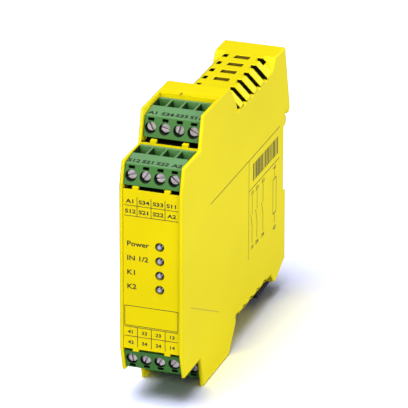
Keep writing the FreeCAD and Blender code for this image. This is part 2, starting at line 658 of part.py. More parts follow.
# ---- Foot latch -------------------------------------------------------------------------------------------
def foot_latch():
    """Sliding latch: nose behind the rail, guide ribs, spring window and the release tab with its slot."""
    tab_top = -VENT_TOP - TAB_GAP
    tab_low = tab_top - TAB_THICK
    nose_front = SEAT_DEPTH + RAIL_SLOT
    nose_back = nose_front + LATCH_NOSE
    neck = -RAIL_TOP - RAIL_PLAY
    front = LATCH_FRONT
    outline = [(front, LATCH_TOP), (LATCH_BACK, LATCH_TOP), (LATCH_BACK, neck), (nose_front, neck),
               (nose_front, LATCH_TOP), (nose_front + LATCH_NOSE / 2, LATCH_TOP),
               (nose_back, LATCH_TOP - LATCH_NOSE_HEIGHT / 2), (nose_back, LATCH_TOP - LATCH_NOSE_HEIGHT),
               (LATCH_BACK, LATCH_TOP - LATCH_NOSE_HEIGHT - LATCH_NOSE), (LATCH_BACK, tab_low + TAB_THICK),
               (LATCH_BACK - TAB_THICK, tab_low), (front - TAB_LENGTH, tab_low),
               (front - TAB_LENGTH, tab_top), (front, tab_top)]
    half = LATCH_WIDTH / 2
    plate = profile_x(outline, -half, half)
    rib_front = front + (LATCH_THICK - LATCH_RIB_THICK) / 2
    rib_top = LATCH_TOP - LATCH_NOSE_HEIGHT
    reach = half + LATCH_RIB - LATCH_PLAY
    ribs = block(-reach, reach, rib_front, rib_front + LATCH_RIB_THICK, rib_top - LATCH_RIB_LENGTH, rib_top)
    window = block(-WINDOW_WIDTH / 2, WINDOW_WIDTH / 2, front - 1, LATCH_BACK + 1,
                   WINDOW_LOW, -WINDOW_TOP)
    slot_start = front - TAB_LENGTH + TAB_SLOT_LENGTH
    slot = block(-TAB_SLOT_WIDTH / 2, TAB_SLOT_WIDTH / 2, slot_start, slot_start + TAB_SLOT_LENGTH,
                 tab_low - 1, tab_top + 1)
    return fused([plate, ribs]).cut([window, slot])


def spring_section(step, radius, z0, rise):
    """Many-sided section of the spring wire at one step along the coil."""
    turn = 2 * math.pi * step / SPRING_STEPS
    z = z0 + rise * step / (SPRING_TURNS * SPRING_STEPS)
    centre_y = (LATCH_FRONT + LATCH_BACK) / 2 - SEAT_DEPTH
    corners = []
    for k in range(SPRING_SIDES + 1):
        around = 2 * math.pi * k / SPRING_SIDES
        reach = radius + SPRING_WIRE / 2 * math.cos(around)
        corners.append(FreeCAD.Vector(reach * math.cos(turn), centre_y + reach * math.sin(turn),
                                      z + SPRING_WIRE / 2 * math.sin(around)))
    return Part.makePolygon(corners)


def foot_spring():
    """Compression spring in the latch's window, from the post up to the window's upper edge."""
    wire = SPRING_WIRE / 2
    z0 = POST_TOP + wire
    z1 = -WINDOW_TOP - wire
    radius = SPRING_DIA / 2 - wire
    steps = SPRING_TURNS * SPRING_STEPS
    return Part.makeLoft([spring_section(k, radius, z0, z1 - z0) for k in range(steps + 1)], True, True)


# ---- Build --------------------------------------------------------------------------------------------------
def build():
    """Write every sub-part."""
    os.makedirs(OUT_DIR, exist_ok=True)
    xs = pole_positions()
    save("housing", housing())
    save("front_cover", front_cover())
    save("foot_latch", foot_latch())
    save("foot_spring", foot_spring())
    save("circuit_board", circuit_board())
    save("relay_1", force_guided_relay(1))
    save("relay_2", force_guided_relay(-1))
    save("storage_capacitor", storage_capacitor())
    save("logic_chips", Part.makeCompound(logic_chips()))
    save("status_leds", Part.makeCompound([status_led(z) for z in led_heights()]))
    leads = [led_lead(z, side * LEAD_SPACING / 2) for z in led_heights() for side in (1, -1)]
    save("led_leads", Part.makeCompound(leads))
    plug = plug_body()
    strip = header()
    bars = Part.makeCompound([contact_bar(x) for x in xs])
    pins = Part.makeCompound([header_pin(k, x) for k, x in enumerate(xs)])
    for name, tier, side in BLOCKS:
        save("plug_" + name, placed(plug, tier, side))
        save("header_" + name, placed(strip, tier, side))
        save("contacts_" + name, placed(bars, tier, side))
        save("pins_" + name, placed(pins if side > 0 else flipped_pins(xs), tier, side))
        for k, x in enumerate(xs):
            label = f"{name}_{k + 1}"
            save("screw_" + label, placed(terminal_screw(x * side, SLOT_ANGLES[name][k]), tier, side))
            save("cage_" + label, placed(clamp_cage(x * side), tier, side))


def flipped_pins(xs):
    """Pins for a lower block: the block is turned over, so its pins reach the board on the other side."""
    mirrored = [header_pin(k, x).mirror(FreeCAD.Vector(0, 0, 0), FreeCAD.Vector(1, 0, 0))
                for k, x in enumerate(xs)]
    return Part.makeCompound(mirrored)


build()
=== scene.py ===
"""Dressed model of a 22.5 mm wide safety relay module for a DIN rail, with four plug-in terminal blocks.

Every length is in metres in the part's own frame: X across the width, Y from the front face to the
rail, Z up, with the origin in the middle of the rail seat. Small sizes are written in millimetres
and multiplied by MM.
"""

import json
import logging
import math
from dataclasses import dataclass, field
from enum import Enum
from typing import Callable, Iterable, Sequence

import bmesh
import bpy
from mathutils import Matrix, Vector
from mathutils.bvhtree import BVHTree


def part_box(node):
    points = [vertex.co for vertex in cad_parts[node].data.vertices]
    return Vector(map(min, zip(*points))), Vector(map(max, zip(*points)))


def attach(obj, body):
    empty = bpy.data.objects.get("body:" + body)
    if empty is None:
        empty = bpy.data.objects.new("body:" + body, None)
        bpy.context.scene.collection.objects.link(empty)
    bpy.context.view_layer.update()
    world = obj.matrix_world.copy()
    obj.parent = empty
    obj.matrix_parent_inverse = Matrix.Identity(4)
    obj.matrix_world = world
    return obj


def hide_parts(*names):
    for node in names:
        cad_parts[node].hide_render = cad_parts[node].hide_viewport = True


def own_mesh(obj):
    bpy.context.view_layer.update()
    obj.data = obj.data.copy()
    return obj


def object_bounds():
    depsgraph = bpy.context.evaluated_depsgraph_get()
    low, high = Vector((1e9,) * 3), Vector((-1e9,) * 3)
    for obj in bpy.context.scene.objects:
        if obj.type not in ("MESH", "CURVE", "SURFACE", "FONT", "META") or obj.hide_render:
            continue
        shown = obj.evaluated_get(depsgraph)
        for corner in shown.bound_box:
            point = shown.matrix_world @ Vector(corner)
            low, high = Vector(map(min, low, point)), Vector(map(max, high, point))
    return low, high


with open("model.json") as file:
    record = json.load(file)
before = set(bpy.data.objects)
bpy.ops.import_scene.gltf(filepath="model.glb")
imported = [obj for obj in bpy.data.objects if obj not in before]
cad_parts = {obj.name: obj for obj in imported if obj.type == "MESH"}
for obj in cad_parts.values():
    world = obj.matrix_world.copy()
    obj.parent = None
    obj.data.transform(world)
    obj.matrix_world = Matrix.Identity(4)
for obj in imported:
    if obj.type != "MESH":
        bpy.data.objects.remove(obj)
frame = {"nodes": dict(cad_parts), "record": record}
CAD_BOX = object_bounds()

LOG = logging.getLogger("relay_module")
MM = 0.001
MERGE = 0.002 * MM  # Points closer than this are one point
HAIR = 0.01 * MM  # A hair's breadth, for comparing places
Colour = tuple[float, float, float]
Point = tuple[float, float, float]
FaceTest = Callable[[Vector, Vector, float], bool]  # On a face's middle, its normal and its reach


def mm(*lengths: float) -> tuple[float, ...]:
    """Turn lengths in millimetres into metres."""
    return tuple(length * MM for length in lengths)


# ---- Finishes -------------------------------------------------------------------------------------------
class Slot(Enum):
    """Names of the finishes that the part's record lists."""

    HOUSING = "yellow_housing"
    COVER = "yellow_cover"
    LATCH = "black_latch"
    SPRING = "spring_steel"
    BOARD = "board"
    RELAY = "relay_case"
    CAPACITOR = "capacitor_can"
    CHIP = "chip_case"
    LENS = "led_lens"
    WIRE = "tinned_wire"
    PLUG = "green_plug"
    HEADER = "green_header"
    CONTACT = "tinned_contact"
    SCREW = "screw_zinc"
    CAGE = "cage_zinc"


def linear(colour: Colour) -> tuple[float, float, float, float]:
    """Turn a display colour into the scene's linear values.

    Args:
        colour: Red, green and blue from 0 to 1, as a screen shows them.

    Returns:
        The same colour in linear light, with an alpha of 1.
    """
    def channel(c: float) -> float:
        """Linear value of one channel."""
        return c / 12.92 if c <= 0.04045 else ((c + 0.055) / 1.055) ** 2.4
    return (channel(colour[0]), channel(colour[1]), channel(colour[2]), 1.0)


class Shader:
    """A material's node tree, with short calls for the nodes that the finishes share."""

    def __init__(self, name: str) -> None:
        """Start a material with one Principled shader.

        Args:
            name: Name of the material.
        """
        self.material = bpy.data.materials.new(name)
        self.material.use_nodes = True
        self.tree = self.material.node_tree
        self.bsdf = self.tree.nodes["Principled BSDF"]
        self.place = self.tree.nodes.new("ShaderNodeTexCoord").outputs["Object"]

    def set(self, socket: str, value: float | Sequence[float]) -> None:
        """Give the shader's own socket a plain value."""
        self.bsdf.inputs[socket].default_value = value

    def link(self, source: bpy.types.NodeSocket, socket: str) -> None:
        """Join a node's output to one of the shader's sockets."""
        self.tree.links.new(source, self.bsdf.inputs[socket])

    def noise(self, scale: float, detail: float = 3.0,
              stretch: Point = (1.0, 1.0, 1.0)) -> bpy.types.NodeSocket:
        """Add noise over the piece's own coordinates.

        Args:
            scale: Cells per metre.
            detail: Octaves of finer noise.
            stretch: Factor on each axis, for brushed or drawn surfaces.

        Returns:
            The noise value, from 0 to 1.
        """
        mapping = self.tree.nodes.new("ShaderNodeMapping")
        mapping.inputs["Scale"].default_value = stretch
        self.tree.links.new(self.place, mapping.inputs["Vector"])
        noise = self.tree.nodes.new("ShaderNodeTexNoise")
        noise.inputs["Scale"].default_value = scale
        noise.inputs["Detail"].default_value = detail
        self.tree.links.new(mapping.outputs["Vector"], noise.inputs["Vector"])
        return noise.outputs["Fac"]

    def ramp(self, source: bpy.types.NodeSocket,
             stops: Sequence[tuple[float, Colour]]) -> bpy.types.NodeSocket:
        """Colour a value by a row of stops.

        Args:
            source: Value from 0 to 1.
            stops: Position and display colour of each stop.

        Returns:
            The colour.
        """
        node = self.tree.nodes.new("ShaderNodeValToRGB")
        elements = node.color_ramp.elements
        while len(elements) < len(stops):
            elements.new(0.5)
        for element, (position, colour) in zip(elements, stops):
            element.position = position
            element.color = linear(colour)
        self.tree.links.new(source, node.inputs["Fac"])
        return node.outputs["Color"]

    def spread(self, source: bpy.types.NodeSocket, low: float, high: float) -> bpy.types.NodeSocket:
        """Map a noise value's middle range, where most of its values lie, onto low to high.

        Args:
            source: The noise value.
            low: Result where the noise is weak.
            high: Result where it is strong.

        Returns:
            The mapped value.
        """
        node = self.tree.nodes.new("ShaderNodeMapRange")
        for socket, value in (("From Min", 0.3), ("From Max", 0.7), ("To Min", low), ("To Max", high)):
            node.inputs[socket].default_value = value
        self.tree.links.new(source, node.inputs["Value"])
        return node.outputs["Result"]

    def bump(self, source: bpy.types.NodeSocket, depth: float, strength: float = 0.5) -> None:
        """Raise the surface by a height value.

        Args:
            source: The height, from 0 to 1.
            depth: Rise at 1, in metres.
            strength: How much of the rise the shading shows.
        """
        node = self.tree.nodes.new("ShaderNodeBump")
        node.inputs["Strength"].default_value = strength
        node.inputs["Distance"].default_value = depth
        self.tree.links.new(source, node.inputs["Height"])
        self.link(node.outputs["Normal"], "Normal")


def by_sight(tree: bpy.types.NodeTree, hidden: float, seen: float) -> bpy.types.NodeSocket:
    """Add a value that differs between what the eye sees and what only lights other things.

    Args:
        tree: Node tree of a material or of the world.
        hidden: Value for light that bounces.
        seen: Value for rays straight to the eye.

    Returns:
        The value.
    """
    rays = tree.nodes.new("ShaderNodeLightPath")
    level = tree.nodes.new("ShaderNodeMapRange")
    level.inputs["To Min"].default_value = hidden
    level.inputs["To Max"].default_value = seen
    tree.links.new(rays.outputs["Is Camera Ray"], level.inputs["Value"])
    return level.outputs["Result"]


@dataclass(frozen=True)
class Finish:
    """What every finish has: a name and a base colour."""

    name: str
    colour: Colour

    def shaded(self, factor: float) -> Colour:
        """The base colour, lighter or darker by a factor."""
        return tuple(min(1.0, c * factor) for c in self.colour)

    def material(self) -> bpy.types.Material:
        """The finish as a material, made once and then shared.

        Returns:
            The material.
        """
        known = bpy.data.materials.get(self.name)
        if known is None:
            shader = Shader(self.name)
            self.dress(shader)
            known = shader.material
        return known

    def dress(self, shader: Shader) -> None:
        """Fill in the shader; each kind of finish has its own."""
        raise NotImplementedError


@dataclass(frozen=True)
class MouldedPlastic(Finish):
    """Injection-moulded plastic with a fine spark-eroded grain and faint flow marks.

    The flow is how far the marks go lighter and darker than the base colour, and uneven how far the
    roughness goes up and down. Scales are in cells per metre.
    """

    roughness: float = 0.42
    specular: float = 0.4
    grain: float = 2600.0
    grain_depth: float = 0.012 * MM
    flow: float = 0.03
    flow_scale: float = 28.0
    flow_stretch: Point = (1.0, 0.5, 1.0)
    flow_stops: tuple[float, float, float] = (0.3, 0.5, 0.7)
    uneven: float = 0.06

    def dress(self, shader: Shader) -> None:
        """Flow marks in the colour, uneven gloss, and grain as bump.

        Args:
            shader: The material to fill in.
        """
        broad = shader.noise(self.flow_scale, 2.0, self.flow_stretch)
        shades = (self.shaded(1 - self.flow), self.colour, self.shaded(1 + self.flow))
        shader.link(shader.ramp(broad, list(zip(self.flow_stops, shades))), "Base Color")
        fine = shader.noise(self.grain, 2.0)
        shader.link(shader.spread(fine, self.roughness - self.uneven, self.roughness + self.uneven),
                    "Roughness")
        shader.bump(fine, self.grain_depth)
        shader.set("Specular IOR Level", self.specular)


@dataclass(frozen=True)
class PlatedMetal(Finish):
    """Zinc, tin or nickel plating with fine scratches and dull patches.

    Dull is the patches' share of the base colour. The scratches make the surface smoother and rougher
    than its roughness by the two last steps. Scales are in cells per metre.
    """

    roughness: float = 0.3
    metallic: float = 1.0
    patch_scale: float = 700.0
    patch_stops: tuple[float, float] = (0.32, 0.62)
    dull: float = 0.75
    scratch: Point = (1.0, 1.0, 1.0)
    scratch_scale: float = 1500.0
    scratch_depth: float = 0.01 * MM
    smoother: float = 0.08
    rougher: float = 0.1

    def dress(self, shader: Shader) -> None:
        """Patches of duller plating, with scratches as bump.

        Args:
            shader: The material to fill in.
        """
        patches = shader.noise(self.patch_scale, 3.0)
        shades = (self.shaded(self.dull), self.colour)
        shader.link(shader.ramp(patches, list(zip(self.patch_stops, shades))), "Base Color")
        lines = shader.noise(self.scratch_scale, 4.0, self.scratch)
        shader.link(shader.spread(lines, self.roughness - self.smoother, self.roughness + self.rougher),
                    "Roughness")
        shader.bump(lines, self.scratch_depth, 0.4)
        shader.set("Metallic", self.metallic)


@dataclass(frozen=True)
class SolderMask(Finish):
    """Circuit board lacquer over copper tracks.

    The track stops are where lacquer ends and copper starts, from a cell's middle to its edge, and the
    gloss is the least and most roughness. Scales are in cells per metre.
    """

    copper: Colour = (0.28, 0.52, 0.26)
    track_scale: float = 420.0
    track_stops: tuple[float, float] = (0.42, 0.5)
    track_height: float = 0.02 * MM
    gloss: tuple[float, float] = (0.22, 0.34)
    gloss_scale: float = 900.0

    def dress(self, shader: Shader) -> None:
        """Tracks as stepped noise cells under a glossy lacquer.

        Args:
            shader: The material to fill in.
        """
        cells = shader.tree.nodes.new("ShaderNodeTexVoronoi")
        cells.distance = "CHEBYCHEV"
        cells.inputs["Scale"].default_value = self.track_scale
        shader.tree.links.new(shader.place, cells.inputs["Vector"])
        shades = (self.colour, self.copper)
        shader.link(shader.ramp(cells.outputs["Distance"], list(zip(self.track_stops, shades))), "Base Color")
        shader.bump(cells.outputs["Distance"], self.track_height, 0.3)
        shader.link(shader.spread(shader.noise(self.gloss_scale), *self.gloss), "Roughness")


@dataclass(frozen=True)
class LensPlastic(Finish):
    """Tinted clear lens of a status light, with painted light and shade: a dark rim as painted shade around a
    paler crown as painted highlight.

    The zones are where the crown, the base colour and the rim lie between axis and outside, and the
    gloss is the least and most roughness.
    """

    rim: Colour = (0.1, 0.08, 0.1)
    crown: Colour = (0.78, 0.78, 0.82)
    zones: tuple[float, float, float] = (0.1, 0.5, 0.7)
    gloss: tuple[float, float] = (0.14, 0.24)
    gloss_scale: float = 1800.0
    coat: float = 0.5
    coat_roughness: float = 0.08

    def dress(self, shader: Shader) -> None:
        """Colour by the piece's own crown attribute, 0 at the axis and 1 at the rim: a painted highlight at
        the crown and painted shade at the rim.

        Args:
            shader: The material to fill in.
        """
        attribute = shader.tree.nodes.new("ShaderNodeAttribute")
        attribute.attribute_name = "crown"
        shades = (self.crown, self.colour, self.rim)
        shader.link(shader.ramp(attribute.outputs["Fac"], list(zip(self.zones, shades))), "Base Color")
        shader.link(shader.spread(shader.noise(self.gloss_scale), *self.gloss), "Roughness")
        shader.set("Coat Weight", self.coat)
        shader.set("Coat Roughness", self.coat_roughness)


@dataclass(frozen=True)
class PrintedInk(Finish):
    """Pad-printed ink, a little worn.

    The wear is how much lighter the thin spots are, and the gloss the least and most roughness.
    """

    wear: float = 0.3
    spot_scale: float = 1400.0
    spot_stops: tuple[float, float] = (0.35, 0.6)
    gloss: tuple[float, float] = (0.45, 0.65)

    def dress(self, shader: Shader) -> None:
        """Ink with thinner spots.

        Args:
            shader: The material to fill in.
        """
        spots = shader.noise(self.spot_scale, 3.0)
        shades = (self.shaded(1 + self.wear), self.colour)
        shader.link(shader.ramp(spots, list(zip(self.spot_stops, shades))), "Base Color")
        shader.link(shader.spread(spots, *self.gloss), "Roughness")


@dataclass(frozen=True)
class StudioFloor(Finish):
    """Pale floor that shows white where it is lit and keeps the object's shadow.

    The lift is how much paler it looks than it is. The floor fades to plain white between the near and
    the far distance from the part.
    """

    lift: float = 3.1
    near: float = 0.4
    far: float = 0.9
    patch_scale: float = 9.0
    patch_shade: float = 0.995

    def dress(self, shader: Shader) -> None:
        """A matt surface, paler for rays that reach the eye straight, and plain white far from the part.

        Args:
            shader: The material to fill in.
        """
        tree = shader.tree
        faint = shader.noise(self.patch_scale, 2.0)
        tint = shader.ramp(faint, [(0.3, self.shaded(self.patch_shade)), (0.7, self.colour)])
        scale = tree.nodes.new("ShaderNodeVectorMath")
        scale.operation = "SCALE"
        tree.links.new(tint, scale.inputs[0])
        tree.links.new(by_sight(tree, 1.0, self.lift), scale.inputs["Scale"])
        matt = tree.nodes.new("ShaderNodeBsdfDiffuse")
        tree.links.new(scale.outputs["Vector"], matt.inputs["Color"])
        reach = tree.nodes.new("ShaderNodeVectorMath")
        reach.operation = "LENGTH"
        tree.links.new(shader.place, reach.inputs[0])
        fade = tree.nodes.new("ShaderNodeMapRange")
        fade.inputs["From Min"].default_value = self.near
        fade.inputs["From Max"].default_value = self.far
        tree.links.new(reach.outputs["Value"], fade.inputs["Value"])
        seen = tree.nodes.new("ShaderNodeMath")
        seen.operation = "MULTIPLY"
        tree.links.new(fade.outputs["Result"], seen.inputs[0])
        tree.links.new(by_sight(tree, 0.0, 1.0), seen.inputs[1])
        glow = tree.nodes.new("ShaderNodeEmission")
        tree.links.new(seen.outputs[0], glow.inputs["Strength"])
        both = tree.nodes.new("ShaderNodeAddShader")
        tree.links.new(matt.outputs["BSDF"], both.inputs[0])
        tree.links.new(glow.outputs["Emission"], both.inputs[1])
        tree.links.new(both.outputs["Shader"], tree.nodes["Material Output"].inputs["Surface"])


FINISHES: dict[Slot, Finish] = {
    Slot.HOUSING: MouldedPlastic("moulded_yellow", (0.96, 0.89, 0.04), roughness=0.5, specular=0.15,
                                 flow=0.02),
    Slot.COVER: MouldedPlastic("moulded_yellow_cover", (0.955, 0.87, 0.0), roughness=0.5, specular=0.1,
                               flow=0.02),
    Slot.LATCH: MouldedPlastic("black_latch_plastic", (0.06, 0.06, 0.06), roughness=0.55, specular=0.25,
                               flow=0.15),
    Slot.SPRING: PlatedMetal("spring_wire", (0.62, 0.63, 0.65), roughness=0.28, scratch=(1.0, 1.0, 0.2)),
    Slot.BOARD: SolderMask("board_lacquer", (0.05, 0.3, 0.13)),
    Slot.RELAY: MouldedPlastic("relay_case_plastic", (0.13, 0.13, 0.14), roughness=0.35, flow=0.1),
    Slot.CAPACITOR: PlatedMetal("capacitor_sleeve", (0.2, 0.22, 0.3), roughness=0.35, metallic=0.2),
    Slot.CHIP: MouldedPlastic("chip_epoxy", (0.08, 0.08, 0.085), roughness=0.6, grain=5200.0, flow=0.12),
    Slot.LENS: LensPlastic("smoked_lens_painted_shading", (0.5, 0.49, 0.55)),
    Slot.WIRE: PlatedMetal("tinned_lead", (0.78, 0.78, 0.76), roughness=0.25, scratch=(1.0, 0.2, 1.0)),
    Slot.PLUG: MouldedPlastic("green_plug_plastic", (0.26, 0.48, 0.2), roughness=0.42, specular=0.25,
                              flow=0.05),
    Slot.HEADER: MouldedPlastic("green_header_plastic", (0.2, 0.5, 0.28), roughness=0.45, flow=0.05),
    Slot.CONTACT: PlatedMetal("tinned_copper", (0.8, 0.79, 0.76), roughness=0.25),
    Slot.SCREW: PlatedMetal("zinc_screw", (0.98, 0.93, 0.93), roughness=0.4, metallic=0.25, dull=0.9),
    Slot.CAGE: PlatedMetal("zinc_cage", (0.72, 0.72, 0.7), roughness=0.35),
}
BLACK_INK = PrintedInk("black_ink", (0.13, 0.12, 0.05))
DARK_GREEN_INK = PrintedInk("plug_ink", (0.05, 0.1, 0.06))
# Painted shade: a dark colour on the housing's inner walls behind the cover, where little light reaches.
VENT_SHADE = MouldedPlastic("inner_wall_painted_shade", (0.2, 0.17, 0.03), roughness=0.7, specular=0.1, flow=0.1)
# Painted shade: a brownish colour on the vent slots' end walls, where shade falls inside the slots.
SLOT_SHADE = MouldedPlastic("slot_wall_painted_shade", (0.52, 0.43, 0.08), roughness=0.6, specular=0.2, flow=0.08)
# Painted shade: a near-black colour in the gaps under the plugs and on the deeper vent slots' walls, where
# shade is deepest.
GAP_SHADE = MouldedPlastic("gap_painted_shade", (0.06, 0.06, 0.03), roughness=0.75, specular=0.1, flow=0.1)
# Painted light: a paler green on the plugs' upward faces, which catch the light from above.
PAINTED_TOP_LIGHT = MouldedPlastic("plug_top_painted_light", (0.42, 0.61, 0.41), roughness=0.5, flow=0.03)
# Painted shade: a dark green inside the screw wells and test slots, where shade falls.
WELL_SHADE = MouldedPlastic("screw_well_painted_shade", (0.07, 0.13, 0.07), roughness=0.6, specular=0.2, flow=0.1)
# Painted shade: a dark green inside the wire funnels, where shade falls.
FUNNEL_SHADE = MouldedPlastic("wire_funnel_painted_shade", (0.07, 0.18, 0.08), roughness=0.5, specular=0.2, flow=0.08)
# Painted shadow: a small dark-yellow mark in ink where a small shadow falls on the shoulder.
SHOULDER_SHADOW = PrintedInk("shoulder_painted_shadow", (0.62, 0.52, 0.06), wear=0.1)
# Painted shade: a slightly darker yellow line in ink where a faint moulded line on the side wall lies in
# shade.
MOULD_LINE_SHADE = PrintedInk("mould_line_painted_shade", (0.8, 0.73, 0.14), wear=0.05)
# Painted shade: a darker metal on the walls of the screw heads' slots.
SCREW_SLOT_SHADE = PlatedMetal("screw_slot", (0.3, 0.27, 0.27), roughness=0.5, dull=0.6)
FLOOR = StudioFloor("pale_floor", (0.81, 0.825, 0.93))


# ---- Mesh helpers ---------------------------------------------------------------------------------------
def new_object(name: str, mesh: bpy.types.Mesh, finish: Finish) -> bpy.types.Object:
    """Put a mesh in the scene as an object at the origin.

    Args:
        name: Object name.
        mesh: Its mesh, with its place in its vertices.
        finish: Finish of every face.

    Returns:
        The object.
    """
    mesh.materials.clear()
    mesh.materials.append(finish.material())
    made = bpy.data.objects.new(name, mesh)
    bpy.context.scene.collection.objects.link(made)
    return made


def settle(piece: bpy.types.Object, body: str) -> bpy.types.Object:
    """Make a finished piece ride on a body.

    Args:
        piece: The piece, at rest.
        body: Name of the body that carries it.

    Returns:
        The piece.
    """
    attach(piece, body)
    LOG.info("%s: %d faces, rides on %s", piece.name, len(piece.data.polygons), body)
    return piece


def baked(piece: bpy.types.Object) -> bpy.types.Object:
    """Turn an object's modifiers into its plain mesh and drop them.

    Args:
        piece: The object.

    Returns:
        The same object.
    """
    graph = bpy.context.evaluated_depsgraph_get()
    mesh = bpy.data.meshes.new_from_object(piece.evaluated_get(graph), depsgraph=graph)
    piece.modifiers.clear()
    piece.data = mesh
    return piece


def piece_from(bm: bmesh.types.BMesh, name: str, finish: Finish) -> bpy.types.Object:
    """Turn a worked mesh into a piece.

    Args:
        bm: The worked mesh, which is freed.
        name: Name of the piece.
        finish: Finish of the piece.

    Returns:
        The piece.
    """
    mesh = bpy.data.meshes.new(name)
    bm.to_mesh(mesh)
    bm.free()
    return new_object(name, mesh, finish)


def merged(node: str) -> bmesh.types.BMesh:
    """Copy a CAD node's loose triangles and join them into a closed skin.

    Args:
        node: Name of the CAD node.

    Returns:
        The joined mesh.
    """
    bm = bmesh.new()
    bm.from_mesh(frame["nodes"][node].data)
    bmesh.ops.remove_doubles(bm, verts=bm.verts, dist=MERGE)
    return bm


def smooth_over(bm: bmesh.types.BMesh, sharp: float) -> None:
    """Shade a mesh smooth, but for the edges that turn by more than an angle.

    Args:
        bm: The mesh.
        sharp: The angle in degrees.
    """
    for edge in bm.edges:
        edge.smooth = not edge.is_manifold or edge.calc_face_angle() <= math.radians(sharp)
    for face in bm.faces:
        face.smooth = True


# ---- Rows grown by node trees ---------------------------------------------------------------------------
class NodePlan:
    """A geometry node tree with named inputs for its sizes, built node by node."""

    def __init__(self, name: str) -> None:
        """Start an empty tree with its way in and its way out.

        Args:
            name: Name of the tree.
        """
        self.tree = bpy.data.node_groups.new(name, "GeometryNodeTree")
        self.tree.interface.new_socket("Geometry", in_out="OUTPUT", socket_type="NodeSocketGeometry")
        self.entry = self.tree.nodes.new("NodeGroupInput")
        self.leave = self.tree.nodes.new("NodeGroupOutput")
        self.identifiers: dict[str, str] = {}

    def size(self, name: str, kind: str = "NodeSocketFloat") -> bpy.types.NodeSocket:
        """Add a named input.

        Args:
            name: Name of the input.
            kind: Type name of its socket.

        Returns:
            The input as a source for other nodes.
        """
        item = self.tree.interface.new_socket(name, in_out="INPUT", socket_type=kind)
        self.identifiers[name] = item.identifier
        return self.entry.outputs[name]

    def node(self, kind: str, feeds: dict[str, object] | None = None, **settings: object) -> bpy.types.Node:
        """Add a node.

        Args:
            kind: Type name of the node.
            feeds: What goes into its sockets, by socket name: another socket or a plain value.
            settings: Properties of the node itself.

        Returns:
            The node.
        """
        made = self.tree.nodes.new(kind)
        for key, value in settings.items():
            setattr(made, key, value)
        for key, value in (feeds or {}).items():
            socket = next(s for s in made.inputs if s.name == key and s.enabled)
            if isinstance(value, bpy.types.NodeSocket):
                self.tree.links.new(value, socket)
            else:
                socket.default_value = value
        return made

    def line(self) -> bpy.types.Node:
        """Add a straight line of points, with inputs for their number, their step and the first one's place.

        Returns:
            The line's node.
        """
        return self.node("GeometryNodeMeshLine", {
            "Count": self.size("Count", "NodeSocketInt"), "Offset": self.size("Step", "NodeSocketVector"),
            "Start Location": self.size("Start", "NodeSocketVector")})

    def close(self, geometry: bpy.types.NodeSocket, finish: Finish) -> None:
        """End the tree: real meshes instead of instances, in their finish.

        Args:
            geometry: What the tree has made.
            finish: Its finish.
        """
        real = self.node("GeometryNodeRealizeInstances", {"Geometry": geometry})
        dressed = self.node("GeometryNodeSetMaterial", {"Geometry": real.outputs[0],
                                                        "Material": finish.material()})
        self.tree.links.new(dressed.outputs[0], self.leave.inputs[0])

    def grown(self, sizes: dict[str, object]) -> bpy.types.Mesh:
        """Grow the tree once with its own sizes and return the plain mesh.

        Args:
            sizes: Value of each named input.

        Returns:
            The mesh.
        """
        seed = bpy.data.objects.new(self.tree.name, bpy.data.meshes.new(self.tree.name))
        bpy.context.scene.collection.objects.link(seed)
        modifier = seed.modifiers.new("rows", "NODES")
        modifier.node_group = self.tree
        for key, value in sizes.items():
            modifier[self.identifiers[key]] = value
        baked(seed)
        mesh = seed.data
        bpy.data.objects.remove(seed)
        return mesh


class BarRow(NodePlan):
    """A straight row of flat bars, each with its own random width."""

    def __init__(self, name: str, finish: Finish) -> None:
        """Build the tree: a line of points, a bar on each.

        Args:
            name: Name of the tree.
            finish: Finish of the bars.
        """
        super().__init__(name)
        line = self.line()
        width, spread = self.size("Width"), self.size("Spread")
        height, thick, seed = self.size("Height"), self.size("Thickness"), self.size("Seed", "NodeSocketInt")
        least = self.node("ShaderNodeMath", operation="SUBTRACT")
        most = self.node("ShaderNodeMath", operation="ADD")
        for sum_node in (least, most):
            self.tree.links.new(width, sum_node.inputs[0])
            self.tree.links.new(spread, sum_node.inputs[1])
        chance = self.node("FunctionNodeRandomValue", {"Min": least.outputs[0], "Max": most.outputs[0],
                                                       "Seed": seed}, data_type="FLOAT")
        drawn = next(s for s in chance.outputs if s.enabled)
        shape = self.node("ShaderNodeCombineXYZ", {"X": drawn, "Y": height, "Z": thick})
        bar = self.node("GeometryNodeMeshCube", {"Size": (1.0, 1.0, 1.0)})
        row = self.node("GeometryNodeInstanceOnPoints", {
            "Points": line.outputs[0], "Instance": bar.outputs[0], "Scale": shape.outputs[0]})
        self.close(row.outputs[0], finish)


class JointRow(NodePlan):
    """A straight row of solder joints that stand up along X, wide at the board and narrow at the pin."""

    def __init__(self, name: str, finish: Finish, corners: int = 20) -> None:
        """Build the tree: a line of points, a cone on each.

        Args:
            name: Name of the tree.
            finish: Finish of the joints.
            corners: Corners around a joint.
        """
        super().__init__(name)
        line = self.line()
        foot, tip, height = self.size("Foot radius"), self.size("Tip radius"), self.size("Height")
        cone = self.node("GeometryNodeMeshCone", {"Vertices": corners, "Radius Top": tip,
                                                  "Radius Bottom": foot, "Depth": height})
        row = self.node("GeometryNodeInstanceOnPoints", {
            "Points": line.outputs[0], "Instance": cone.outputs[0], "Rotation": (0.0, math.pi / 2, 0.0)})
        self.close(row.outputs[0], finish)


def joined(name: str, rows: Iterable[bpy.types.Mesh], finish: Finish) -> bpy.types.Object:
    """Put several grown rows into one piece.

    Args:
        name: Name of the piece.
        rows: The rows' meshes.
        finish: Finish of the piece.

    Returns:
        The piece.
    """
    bm = bmesh.new()
    for row in rows:
        bm.from_mesh(row)
        bpy.data.meshes.remove(row)
    return piece_from(bm, name, finish)


